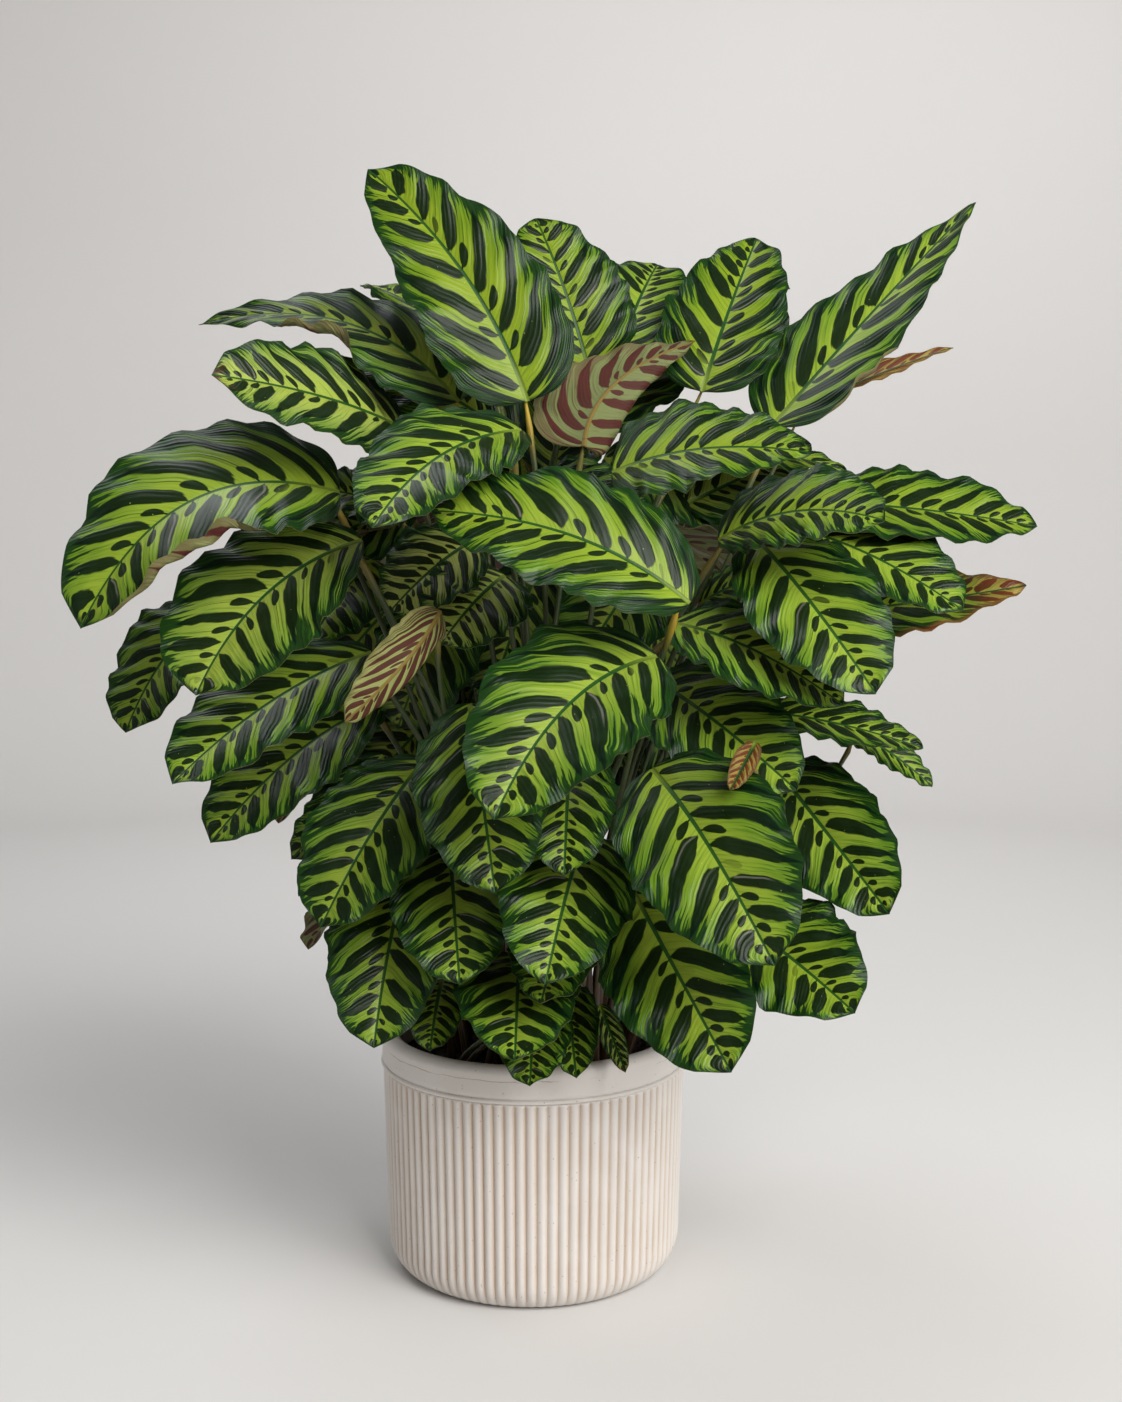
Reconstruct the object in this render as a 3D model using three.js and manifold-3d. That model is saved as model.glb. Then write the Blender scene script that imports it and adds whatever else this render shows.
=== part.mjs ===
// Peacock plant (Calathea makoyana) in a ribbed ceramic pot.
// Millimetres, +Z up, front towards -Y, origin at the centre of the pot's underside.
import * as THREE from 'three';
import { mergeVertices } from 'three/addons/utils/BufferGeometryUtils.js';
import Module from 'manifold-3d';

const wasm = await Module();
wasm.setup();

// ---------------------------------------------------------------- driving dimensions

const POT = {
  height: 170,
  lipRadius: 110,
  mouthRadius: 98.5,
  mouthDrop: 6,
  bandBottom: 145,
  ribTopRadius: 109,
  ribFootRadius: 105,
  ribs: 92,
  ribDepth: 1.8,
  footRoundOut: 17,
  footRoundUp: 22,
  floor: 9,
  innerFootRadius: 88,
  innerCornerOut: 7,
  innerCornerUp: 12,
  turns: 24,
};

const SOIL = {
  top: 150,
  edgeDrop: 3,
  levelShare: 0.86,
  clearance: 0.3,
  holePlay: 0.7,
  holeDepth: 16,
  spread: 70,
};

const BLADE = {
  thickness: 0.9,
  bands: 7,
  fewBands: 5,
  smallWidth: 87,
  strips: 2,
  baseHalfWidth: 2.5,
  tipHalfWidth: 0.8,
  fold: 15,
  ripple: 3.2,
  widest: 0.86,
  bluntness: 0.5,
};

const STALK = {
  radius: 2.4,
  sides: 3,
  steps: 4,
  sunk: 7,
};

// The foliage is set out as it is seen by someone standing in front of the pot.
const EYE = new THREE.Vector3(20, -1077, 472);

const COLOURS = {
  pot: { color: 0xd9d2c8, roughness: 0.5, metalness: 0 },
  soil: { color: 0x1d1712, roughness: 0.95, metalness: 0 },
  leaf: { color: 0x4f7d2a, roughness: 0.38, metalness: 0 },
};

// Every leaf that faces the front: name, base, tip, width, look and the rest. base and tip are
// [across, up, near]: where the point is seen on the upright plane through the pot's axis, and
// how far it then stands towards the eye. look is where the upper side faces: [turn to the
// right, lift above level] in degrees. arch lifts the middle of the blade and bend pushes it to
// the right of the way it grows. A larger widest moves the widest place towards the tip, and a
// larger blunt makes the ends more pointed. sway moves the middle of the stalk in x and y,
// clear of its neighbours.
const FRONT_LEAVES = [
  ['crown_1', [-4, 618, 70], [-116, 780, 35], 98, [0, 25],
    { arch: 6, bend: 12, widest: 0.62, sway: [15, -30] }],
  ['crown_2', [40, 637, 0], [2, 746, -20], 92, [10, 25], { arch: 8, widest: 0.74, sway: [-10, 20] }],
  ['crown_3', [60, 650, -10], [88, 714, -100], 88, [0, 30], { arch: 8, sway: [5, 0] }],
  ['crown_4', [120, 625, 15], [158, 732, -65], 92, [-10, 20], { arch: 6, widest: 0.68, sway: [0, 15] }],
  ['crown_5', [170, 601, 40], [312, 757, -20], 88, [-30, 30],
    { bend: -2, widest: 0.54, blunt: 0.8, sway: [5, -15] }],
  ['left_1', [-53, 618, 45], [-237, 672, 5], 88, [0, 50],
    { arch: 22, bend: 20, widest: 0.5, blunt: 0.85, sway: [25, -45] }],
  ['left_2', [-91, 598, 35], [-228, 637, 140], 86, [0, 30], { arch: 8, sway: [10, 30] }],
  ['left_3', [-138, 554, 75], [-325, 457, 150], 130, [-15, 38],
    { arch: 30, bend: 24, widest: 0.7, sway: [0, -5] }],
  ['left_4', [-122, 520, 90], [-243, 409, 150], 110, [0, 42],
    { arch: 6, bend: 16, widest: 1.15, sway: [5, -15] }],
  ['left_5', [-225, 475, -5], [-294, 382, 40], 76, [-10, 45], { arch: 6, bend: 6, sway: [10, 0] }],
  ['left_6', [-116, 440, 60], [-261, 345, 140], 84, [0, 50],
    { arch: 6, bend: 7, widest: 1.0, sway: [15, 0] }],
  ['left_7', [-109, 404, 15], [-234, 302, 75], 84, [0, 50], { arch: 6, bend: 8, widest: 0.95 }],
  ['centre_1', [-8, 598, 80], [-115, 529, 180], 86, [0, 45], { arch: 8, bend: 12, sway: [-5, -15] }],
  ['centre_2', [36, 586, 75], [115, 660, 15], 90, [150, 20],
    { arch: 6, bend: 19, fold: 30, widest: 0.5, blunt: 0.85, sway: [0, -20] }],
  ['centre_3', [56, 568, 80], [199, 582, 120], 94, [0, 45],
    { arch: 8, bend: -5, widest: 0.62, blunt: 0.65, sway: [0, -10] }],
  ['centre_4', [112, 475, 155], [-74, 541, 140], 98, [0, 40], { arch: 10, bend: 11, sway: [0, 25] }],
  ['centre_5', [89, 437, 135], [-29, 319, 230], 108, [-5, 38], { arch: 14, bend: 12, sway: [5, -10] }],
  ['right_1', [100, 578, -20], [224, 569, -10], 58, [10, 52],
    { arch: 6, bend: -6, widest: 0.62, blunt: 0.7, sway: [-10, -10] }],
  ['right_2', [132, 520, 95], [251, 534, 155], 82, [0, 45], { arch: 8, bend: -10, sway: [-20, 5] }],
  ['right_3', [190, 547, 30], [360, 530, 65], 88, [0, 52], { arch: 4, sway: [-5, -20] }],
  ['right_4', [156, 524, 80], [246, 410, 170], 86, [-10, 40], { arch: 8, widest: 1.05, sway: [20, -10] }],
  ['right_5', [187, 528, 40], [308, 470, 115], 84, [0, 50], { arch: 8, sway: [10, -5] }],
  ['right_6', [191, 467, 6], [353, 488, 35], 76, [0, 50],
    { arch: 4, bend: 8, widest: 0.72, blunt: 0.65, sway: [10, -20] }],
  ['right_7', [99, 461, 90], [223, 402, 145], 78, [0, 50], { arch: 10, widest: 0.95, sway: [-45, 15] }],
  ['right_8', [87, 420, 65], [190, 340, 145], 86, [-15, 40], { arch: 8, sway: [45, -25] }],
  ['right_9', [160, 397, 45], [281, 371, 90], 54, [0, 60], { arch: 8, bend: 5, sway: [45, 40] }],
  ['low_1', [85, 356, 120], [175, 212, 235], 104, [-22, 35],
    { arch: 14, bend: -4, widest: 0.95, sway: [-5, 15] }],
  ['low_2', [173, 358, 30], [258, 250, 140], 80, [-24, 35], { arch: 4, widest: 0.95, sway: [-25, 30] }],
  ['low_3', [72, 267, 95], [144, 133, 205], 94, [-20, 35], { arch: 8, widest: 0.95, sway: [-20, 5] }],
  ['low_4', [145, 247, 95], [234, 177, 180], 90, [0, 35], { arch: 6, sway: [-20, 0] }],
  ['low_5', [-46, 403, 98], [-28, 265, 180], 86, [0, 30], { arch: 10, widest: 1.05, sway: [5, 0] }],
  ['low_6', [36, 308, 85], [8, 198, 190], 92, [0, 35], { arch: 10, sway: [-10, 10] }],
  ['low_7', [-60, 300, 55], [-54, 198, 160], 84, [0, 35], { arch: 10, widest: 1.1, sway: [-15, -15] }],
  ['low_8', [-78, 362, 65], [-155, 240, 135], 88, [-10, 35], { arch: 10, widest: 0.95, sway: [-35, -10] }],
  ['low_9', [-108, 366, 40], [-176, 290, 75], 48, [-10, 45], { arch: 8, bend: -7, sway: [10, -10] }],
  ['low_10', [-93, 275, 55], [-117, 151, 135], 86, [-5, 25], { arch: 10 }],
  ['low_11', [-10, 220, 75], [-14, 142, 185], 84, [0, 50], { arch: 6 }],
  ['low_12', [1, 186, 75], [-3, 123, 150], 56, [0, 40], { arch: 6, sway: [-15, -20] }],
  ['inner_1', [-67, 469, 110], [-136, 390, 150], 42, [190, 20], { arch: -12, sway: [-25, -25] }],
  ['inner_2', [-42, 520, 50], [-103, 469, 75], 72, [0, 40], { arch: 6, sway: [0, -15] }],
  ['inner_3', [30, 440, 5], [20, 330, 30], 92, [0, 35], { arch: 8, sway: [10, 40] }],
  ['inner_4', [110, 330, 25], [150, 240, 60], 82, [0, 35], { arch: 8, bend: -18, sway: [10, -5] }],
  ['inner_5', [0, 560, 15], [80, 520, 35], 84, [0, 45], { arch: 8, sway: [20, 15] }],
  ['inner_6', [-60, 380, 20], [-40, 290, 10], 90, [0, 35], { arch: 8, sway: [-10, 5] }],
  ['inner_7', [-115, 506, -20], [-159, 449, 30], 80, [0, 40], { arch: 6, sway: [5, 0] }],
];

// Leaves that come out of the same sheath as the named one, and are one piece with it.
const SIDE_LEAVES = [
  ['crown_5', [185, 608, 20], [298, 656, -25], 26, [0, 60], { fold: 35, bend: -6, sway: [5, -10] }],
  ['crown_1', [-10, 588, 15], [-125, 655, -10], 84, [0, 35], { arch: 8, sway: [-25, 25] }],
  ['inner_3', [88, 510, 10], [30, 425, 30], 86, [0, 35], { arch: 8, sway: [5, 5] }],
  ['crown_2', [14, 566, -30], [34, 664, -30], 80, [0, 30], { arch: 8, sway: [-10, 25] }],
  ['inner_3', [4, 500, -10], [-32, 402, 20], 80, [0, 36], { arch: 8, sway: [5, 5] }],
  ['inner_5', [50, 578, -55], [146, 532, -55], 82, [0, 42], { arch: 8, sway: [-5, -5] }],
  ['inner_7', [-90, 538, 15], [-160, 556, 30], 60, [0, 45], { arch: 6, sway: [0, 15] }],
  ['inner_6', [-55, 478, 10], [-98, 385, 25], 82, [0, 38], { arch: 8, sway: [-5, 15] }],
  ['inner_4', [85, 425, -15], [128, 330, -5], 84, [0, 38], { arch: 8, sway: [-5, -25] }],
  ['left_3', [-134, 534, 35], [-210, 521, 60], 76, [0, 60], { arch: 6, sway: [-5, -25] }],
  ['inner_2', [-20, 495, 60], [-67, 445, 95], 78, [0, 40], { arch: 6, sway: [10, -40] }],
  ['right_2', [119, 474, 35], [187, 497, 55], 46, [0, 50], { arch: 6, sway: [5, 5] }],
  ['right_9', [225, 385, 30], [288, 343, 60], 34, [0, 60], { arch: 4, sway: [20, -10] }],
  ['right_8', [160, 375, 165], [142, 340, 185], 20, [0, 30], { fold: 40, sway: [45, 0] }],
  ['low_3', [48, 183, 85], [67, 133, 112], 22, [0, 20], { fold: 40, sway: [-20, 0] }],
  ['low_5', [26, 366, 90], [22, 278, 168], 66, [0, 40], { arch: 8, sway: [-10, -15] }],
  ['low_6', [23, 245, 70], [5, 184, 165], 64, [0, 45], { arch: 6, sway: [10, 25] }],
  ['low_9', [-108, 333, 10], [-171, 263, 50], 44, [-10, 45], { arch: 6, bend: -4 }],
  ['low_11', [-67, 201, 65], [-76, 149, 117], 42, [0, 40], { arch: 4, sway: [20, 10] }],
  ['low_12', [23, 198, 65], [31, 129, 145], 40, [0, 40], { arch: 4, sway: [-5, -25] }],
];

// Leaves round the back, in rings: count, turn of the first and last (0 is the front, 180 the
// back), radius and height of the blade's base, radius and height of its tip. In a ring with
// pairs, every second leaf is one piece with the leaf before it. In a ring that joins the one
// above, each leaf is one piece with the leaf above it.
const BACK_RINGS = [
  { count: 4, from: 125, to: 235, base: [50, 620], tip: [160, 700], wide: 88, pairs: true },
  { count: 8, from: 110, to: 258, base: [85, 550], tip: [236, 466], wide: 92, pairs: true },
  { count: 5, from: 112, to: 248, base: [90, 430], tip: [215, 325], wide: 84 },
  { count: 5, from: 116, to: 244, base: [85, 290], tip: [185, 190], wide: 84, joinsAbove: true },
];

// Sway of the back leaves that need one, by their place in the count over all rings.
const BACK_SWAYS = {
  2: [-5, -5],
  3: [40, 10],
  4: [-30, 15],
  12: [-5, 15],
  14: [10, 5],
  18: [10, -5],
};

// ---------------------------------------------------------------- solids

// A closed three.js geometry as a manifold-3d solid.
function solidOf(geometry) {
  const bare = geometry.clone();
  bare.deleteAttribute('normal');
  bare.deleteAttribute('uv');
  const merged = mergeVertices(bare, 1e-4);
  return new wasm.Manifold(new wasm.Mesh({
    numProp: 3,
    vertProperties: merged.attributes.position.array,
    triVerts: new Uint32Array(merged.index.array),
  }));
}

function geometryOf(solid) {
  const mesh = solid.getMesh();
  const geometry = new THREE.BufferGeometry();
  geometry.setAttribute('position', new THREE.BufferAttribute(new Float32Array(mesh.vertProperties), 3));
  geometry.setIndex(new THREE.BufferAttribute(new Uint32Array(mesh.triVerts), 1));
  return geometry;
}

function lathe(profile, turns) {
  const points = profile.map(([radius, height]) => new THREE.Vector2(radius, height));
  const geometry = new THREE.LatheGeometry(points, turns);
  geometry.rotateX(Math.PI / 2);
  return solidOf(geometry);
}

function namedMesh(name, solid, look) {
  const material = new THREE.MeshStandardMaterial(look);
  const mesh = new THREE.Mesh(geometryOf(solid), material);
  mesh.name = name;
  return mesh;
}

// ---------------------------------------------------------------- pot

// One ring of the ribbed wall: each rib has a crest corner and a groove corner.
function ribRing(crestRadius, depth, height) {
  const ring = [];
  const pitch = (2 * Math.PI) / POT.ribs;
  const corners = [[0, 0], [0.5, depth]];
  for (let rib = 0; rib < POT.ribs; rib += 1) {
    for (const [share, inset] of corners) {
      const angle = (rib + share) * pitch;
      const radius = crestRadius - inset;
      ring.push(new THREE.Vector3(radius * Math.cos(angle), radius * Math.sin(angle), height));
    }
  }
  return ring;
}

// A solid lofted through rings of equal length, closed by a fan at each end.
function loft(rings) {
  const count = rings[0].length;
  const positions = rings.flat().flatMap((point) => point.toArray());
  const index = [];
  for (let level = 0; level + 1 < rings.length; level += 1) {
    for (let i = 0; i < count; i += 1) {
      const a = level * count + i;
      const b = level * count + ((i + 1) % count);
      index.push(a, b, b + count, a, b + count, a + count);
    }
  }
  const bottom = positions.length / 3;
  const top = bottom + 1;
  const last = (rings.length - 1) * count;
  positions.push(0, 0, rings[0][0].z, 0, 0, rings[rings.length - 1][0].z);
  for (let i = 0; i < count; i += 1) {
    const next = (i + 1) % count;
    index.push(bottom, next, i, top, last + i, last + next);
  }
  const geometry = new THREE.BufferGeometry();
  geometry.setAttribute('position', new THREE.Float32BufferAttribute(positions, 3));
  geometry.setIndex(index);
  return solidOf(geometry);
}

function ribbedWall() {
  const slope = (POT.ribTopRadius - POT.ribFootRadius) / POT.bandBottom;
  const rings = [];
  for (const turn of [0, 40, 90]) {
    const angle = THREE.MathUtils.degToRad(turn);
    const height = POT.footRoundUp * (1 - Math.cos(angle));
    const wall = POT.ribFootRadius + slope * POT.footRoundUp;
    const radius = wall - POT.footRoundOut * (1 - Math.sin(angle));
    rings.push(ribRing(radius, POT.ribDepth * (0.2 + 0.8 * Math.sin(angle)), height));
  }
  rings.push(ribRing(POT.ribTopRadius, POT.ribDepth, POT.bandBottom + 1));
  return loft(rings);
}

function bandAndLip() {
  const { height, lipRadius, mouthRadius, mouthDrop, bandBottom } = POT;
  return lathe([
    [0, bandBottom],
    [lipRadius, bandBottom],
    [lipRadius + 0.6, bandBottom + 1.6],
    [lipRadius - 0.4, bandBottom + 3.6],
    [lipRadius, height - 6.5],
    [lipRadius - 2.4, height - 1.6],
    [lipRadius - 6, height],
    [mouthRadius + 2, height - 1.6],
    [mouthRadius, height - mouthDrop],
    [0, height - mouthDrop],
  ], POT.turns);
}

// The space inside, which reaches past the lip so that it cuts the pot open.
function cavity() {
  const { height, mouthRadius, mouthDrop, floor, innerFootRadius, innerCornerOut, innerCornerUp } = POT;
  return lathe([
    [0, floor],
    [innerFootRadius, floor],
    [innerFootRadius + innerCornerOut, floor + innerCornerUp],
    [mouthRadius, height - mouthDrop],
    [mouthRadius, height + 1],
    [0, height + 1],
  ], POT.turns);
}

function potSolid() {
  return ribbedWall().add(bandAndLip()).subtract(cavity());
}

// ---------------------------------------------------------------- leaf

function direction(turn, lift) {
  const across = THREE.MathUtils.degToRad(turn);
  const up = THREE.MathUtils.degToRad(lift);
  return new THREE.Vector3(
    Math.sin(across) * Math.cos(up),
    -Math.cos(across) * Math.cos(up),
    Math.sin(up),
  );
}

// A point of the front view, moved along the line of sight until it stands near mm forward.
function seenAt([across, up, near]) {
  const onPlane = new THREE.Vector3(across, 0, up);
  return onPlane.lerp(EYE, near / -EYE.y);
}

// Half of the blade's width, from 0 at the stalk to 1 at the tip.
function halfWidth(leaf, along) {
  const widest = leaf.widest ?? BLADE.widest;
  const blunt = leaf.blunt ?? BLADE.bluntness;
  const outline = Math.sin(Math.PI * along ** widest) ** blunt;
  const least = THREE.MathUtils.lerp(BLADE.baseHalfWidth, BLADE.tipHalfWidth, along);
  return Math.max(least, (leaf.wide / 2) * outline);
}

// The blade's middle line is a quadratic curve over the straight line from base to tip.
function bladeSpine(leaf) {
  const ahead = leaf.tip.clone().sub(leaf.base).normalize();
  const face = leaf.face.clone().addScaledVector(ahead, -leaf.face.dot(ahead)).normalize();
  const right = ahead.clone().cross(face);
  const knee = leaf.base.clone().lerp(leaf.tip, 0.45);
  knee.addScaledVector(face, 2 * (leaf.arch ?? 0));
  knee.addScaledVector(right, 2 * (leaf.bend ?? 0));
  return { curve: new THREE.QuadraticBezierCurve3(leaf.base, knee, leaf.tip), face };
}

// Ahead, right and face of the blade at one place of its middle line.
function bladeFrame(spine, along) {
  const ahead = spine.curve.getTangent(along);
  const right = ahead.clone().cross(spine.face).normalize();
  const face = right.clone().cross(ahead);
  return { ahead, right, face };
}

// A small blade has fewer bands along it.
function bandsOf(leaf) {
  return leaf.wide < BLADE.smallWidth ? BLADE.fewBands : BLADE.bands;
}

// A point of the blade's upper face, its row in 0..1 from base to tip and v in -1..1 across.
function bladePoint(leaf, spine, row, v) {
  const along = 0.6 * row + 0.2 * (1 - Math.cos(Math.PI * row));
  const { right, face } = bladeFrame(spine, along);
  const reach = halfWidth(leaf, along);
  const fold = THREE.MathUtils.degToRad(leaf.fold ?? BLADE.fold);
  const dish = reach * Math.sin(fold) * (Math.abs(v) - 0.55 * v * v);
  const fade = Math.sqrt(Math.max(0, Math.sin(Math.PI * row))) * Math.min(1, leaf.wide / 60);
  const wave = BLADE.ripple * fade * v * Math.abs(v) * Math.cos(Math.PI * bandsOf(leaf) * row);
  const point = spine.curve.getPoint(along);
  point.addScaledVector(right, reach * v * Math.cos(fold));
  point.addScaledVector(face, dish + wave);
  return { point, face };
}

// The blade as two grids with the same triangles, joined round their edge.
function bladeSolid(leaf) {
  const spine = bladeSpine(leaf);
  const { strips, thickness } = BLADE;
  const bands = bandsOf(leaf);
  const upper = [];
  const lower = [];
  for (let i = 0; i <= bands; i += 1) {
    for (let j = 0; j <= strips; j += 1) {
      const { point, face } = bladePoint(leaf, spine, i / bands, (2 * j) / strips - 1);
      upper.push(point);
      lower.push(point.clone().addScaledVector(face, -thickness));
    }
  }
  const columns = strips + 1;
  const under = upper.length;
  const index = [];
  for (let i = 0; i < bands; i += 1) {
    for (let j = 0; j < strips; j += 1) {
      const a = i * columns + j;
      const b = a + 1;
      const c = b + columns;
      const d = a + columns;
      index.push(a, b, c, a, c, d);
      index.push(under + a, under + c, under + b, under + a, under + d, under + c);
    }
  }
  const edge = [];
  for (let j = 0; j < strips; j += 1) edge.push(j);
  for (let i = 0; i < bands; i += 1) edge.push(i * columns + strips);
  for (let j = strips; j > 0; j -= 1) edge.push(bands * columns + j);
  for (let i = bands; i > 0; i -= 1) edge.push(i * columns);
  edge.forEach((a, k) => {
    const b = edge[(k + 1) % edge.length];
    index.push(a, under + a, under + b, a, under + b, b);
  });
  const geometry = new THREE.BufferGeometry();
  const positions = [...upper, ...lower].flatMap((point) => point.toArray());
  geometry.setAttribute('position', new THREE.Float32BufferAttribute(positions, 3));
  geometry.setIndex(index);
  return solidOf(geometry);
}

// The stalk stands in its hole, rises, and comes to the blade's base from below and inside.
function stalkCurve(leaf, depth) {
  const foot = new THREE.Vector3(leaf.hole.x, leaf.hole.y, SOIL.top - depth);
  const { ahead, face } = bladeFrame(bladeSpine(leaf), 0);
  const reach = leaf.base.distanceTo(foot);
  const inward = new THREE.Vector3(-leaf.base.x, -leaf.base.y, 0).normalize();
  const sway = new THREE.Vector3(...(leaf.sway ?? [0, 0]), 0);
  const rise = foot.clone().add(sway);
  const arrive = leaf.base.clone().add(sway).addScaledVector(inward, 0.1 * reach);
  rise.z += 0.45 * reach;
  arrive.z -= 0.22 * reach;
  const end = leaf.base.clone().addScaledVector(ahead, STALK.sunk);
  end.addScaledVector(face, -BLADE.thickness / 2);
  return new THREE.CubicBezierCurve3(foot, rise, arrive, end);
}

function stalkSolid(leaf, radius, depth) {
  const section = new THREE.Shape();
  for (let k = 0; k < STALK.sides; k += 1) {
    const angle = (k / STALK.sides) * 2 * Math.PI;
    const corner = [radius * Math.cos(angle), radius * Math.sin(angle)];
    if (k === 0) section.moveTo(...corner);
    else section.lineTo(...corner);
  }
  section.closePath();
  const geometry = new THREE.ExtrudeGeometry(section, {
    steps: STALK.steps,
    bevelEnabled: false,
    extrudePath: stalkCurve(leaf, depth),
  });
  return solidOf(geometry);
}

function leafSolid(leaf) {
  return bladeSolid(leaf).add(stalkSolid(leaf, STALK.radius, SOIL.holeDepth - SOIL.holePlay));
}

// ---------------------------------------------------------------- where each leaf stands

function placed([name, base, tip, wide, look, rest]) {
  return {
    node: `leaf_${name}`,
    base: seenAt(base),
    tip: seenAt(tip),
    wide,
    face: direction(...look),
    ...rest,
  };
}

function frontLeaves() {
  return [
    ...FRONT_LEAVES.map((row) => ({ ...placed(row), first: true })),
    ...SIDE_LEAVES.map(placed),
  ];
}

function backLeaves() {
  const leaves = [];
  BACK_RINGS.forEach((ring, level) => {
    for (let k = 0; k < ring.count; k += 1) {
      const place = leaves.length + 1;
      const turn = THREE.MathUtils.lerp(ring.from, ring.to, k / (ring.count - 1));
      const sway = 12 * Math.sin(2.4 * place);
      const shift = place % 2 === 0 ? 20 : -20;
      const joined = (ring.joinsAbove && ring.count) || (ring.pairs && place % 2 === 0 && 1) || 0;
      leaves.push({
        node: `leaf_back_${place - joined}`,
        first: joined === 0,
        base: direction(turn, 0).multiplyScalar(ring.base[0]).setZ(ring.base[1] + shift),
        tip: direction(turn + sway, 0).multiplyScalar(ring.tip[0]).setZ(ring.tip[1] + shift),
        face: direction(turn, 50 - 5 * level),
        wide: ring.wide,
        arch: 12,
        sway: BACK_SWAYS[place],
      });
    }
  });
  return leaves;
}

// Holes lie on a sunflower spiral, and each stalk takes the free one nearest to its own side.
function giveHoles(leaves) {
  const first = leaves.filter((leaf) => leaf.first);
  const free = first.map((_, k) => {
    const radius = SOIL.spread * Math.sqrt((k + 0.5) / first.length);
    const angle = k * Math.PI * (3 - Math.sqrt(5));
    return new THREE.Vector2(radius * Math.cos(angle), radius * Math.sin(angle));
  });
  for (const leaf of first) {
    const rise = leaf.base.z - SOIL.top;
    const aim = new THREE.Vector2(leaf.base.x, leaf.base.y);
    aim.multiplyScalar(SOIL.spread / Math.hypot(aim.length(), rise));
    free.sort((a, b) => a.distanceTo(aim) - b.distanceTo(aim));
    leaf.hole = free.shift();
  }
  for (const leaf of leaves) {
    leaf.hole ??= first.find(({ node }) => node === leaf.node).hole;
  }
}

// ---------------------------------------------------------------- soil

// The soil fills the pot up to a level top, and each stalk stands in a hole that leans as it does.
function soilSolid(leaves) {
  const { top, edgeDrop, levelShare, clearance, holePlay, holeDepth } = SOIL;
  const { floor, innerFootRadius, mouthRadius, mouthDrop, height } = POT;
  const cornerRadius = innerFootRadius + POT.innerCornerOut;
  const cornerHeight = floor + POT.innerCornerUp;
  const share = (top - edgeDrop - cornerHeight) / (height - mouthDrop - cornerHeight);
  const edgeRadius = THREE.MathUtils.lerp(cornerRadius, mouthRadius, share);
  let soil = lathe([
    [0, floor + clearance],
    [innerFootRadius - clearance, floor + clearance],
    [cornerRadius - clearance, cornerHeight],
    [edgeRadius - clearance, top - edgeDrop],
    [levelShare * edgeRadius, top],
    [0, top],
  ], POT.turns / 2);
  for (const leaf of leaves) {
    soil = soil.subtract(stalkSolid(leaf, STALK.radius + holePlay, holeDepth));
  }
  return soil;
}

// ---------------------------------------------------------------- the plant

const leaves = [...frontLeaves(), ...backLeaves()];
giveHoles(leaves);

const plant = new THREE.Group();
plant.name = 'peacock_plant';
plant.add(namedMesh('pot', potSolid(), COLOURS.pot));
plant.add(namedMesh('soil', soilSolid(leaves), COLOURS.soil));
for (const node of new Set(leaves.map((leaf) => leaf.node))) {
  const solids = leaves.filter((leaf) => leaf.node === node).map(leafSolid);
  plant.add(namedMesh(node, solids.reduce((all, one) => all.add(one)), COLOURS.leaf));
}

export default plant;
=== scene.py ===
"""A peacock plant (Calathea makoyana) in a ribbed pot, dressed around its packed CAD model.

Every surface is a function of two parameters, worked out as whole numpy arrays. The leaves grow
from the same rows and formulas as the model's own, with finer grids and with their veins. A few
young leaves in the shade between the stalks are added to them.
"""

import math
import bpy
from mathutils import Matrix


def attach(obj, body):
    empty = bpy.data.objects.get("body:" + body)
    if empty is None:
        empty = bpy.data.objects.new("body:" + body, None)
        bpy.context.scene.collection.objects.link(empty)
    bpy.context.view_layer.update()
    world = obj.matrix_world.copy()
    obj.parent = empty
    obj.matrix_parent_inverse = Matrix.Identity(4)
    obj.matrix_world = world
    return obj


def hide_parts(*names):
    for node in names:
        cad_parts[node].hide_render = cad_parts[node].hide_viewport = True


bl_info = {
    "name": "Peacock plant",
    "version": (1, 0, 0),
    "blender": (4, 5, 0),
    "location": "View3D > Sidebar > Peacock plant",
    "description": "Grows the leaves, pot, soil and stage of a potted peacock plant",
    "category": "Object",
}

from types import SimpleNamespace

import bpy
import numpy as np
from bpy.props import FloatProperty, FloatVectorProperty, PointerProperty
from mathutils import Vector

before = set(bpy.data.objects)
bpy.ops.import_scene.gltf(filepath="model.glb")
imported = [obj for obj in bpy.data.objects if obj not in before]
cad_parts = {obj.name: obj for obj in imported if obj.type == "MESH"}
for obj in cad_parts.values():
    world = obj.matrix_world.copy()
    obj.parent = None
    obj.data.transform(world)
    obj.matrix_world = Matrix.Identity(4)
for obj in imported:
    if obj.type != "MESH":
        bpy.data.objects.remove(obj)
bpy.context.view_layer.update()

MM = 0.001

# ---------------------------------------------------------------- where each leaf stands

# The eye that the front view is laid out for, and the height of the soil, in metres.
EYE = np.array((20, -1077, 472)) * MM
SOIL_TOP = 150 * MM
HOLE_DEPTH = 15.3 * MM
HOLE_SPREAD = 70 * MM
GOLDEN_TURN = math.pi * (3 - math.sqrt(5))
KNEE_SHARE = 0.45

# How far a leaf's ground is bright yellow-green or pale cream, its edge dried, its stalk orange,
# and how far its veins slant forwards. A bright below zero paints the ground dark olive as shade.
USUAL_TONES = {"bright": 0.35, "pale": 0.1, "dry": 0.0, "ripe": 0.4, "slant": 1.0}


def direction(turn, lift):
    """A unit vector: turn degrees to the right of straight ahead, lift degrees above level."""
    across, up = math.radians(turn), math.radians(lift)
    return np.array((
        math.sin(across) * math.cos(up),
        -math.cos(across) * math.cos(up),
        math.sin(up),
    ))


def seen_at(across, up, near):
    """The point seen at (across, up) on the upright plane through the axis, brought near mm
    towards the eye along the line of sight."""
    on_plane = np.array((across, 0, up)) * MM
    return on_plane + (EYE - on_plane) * near * MM / -EYE[1]


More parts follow.
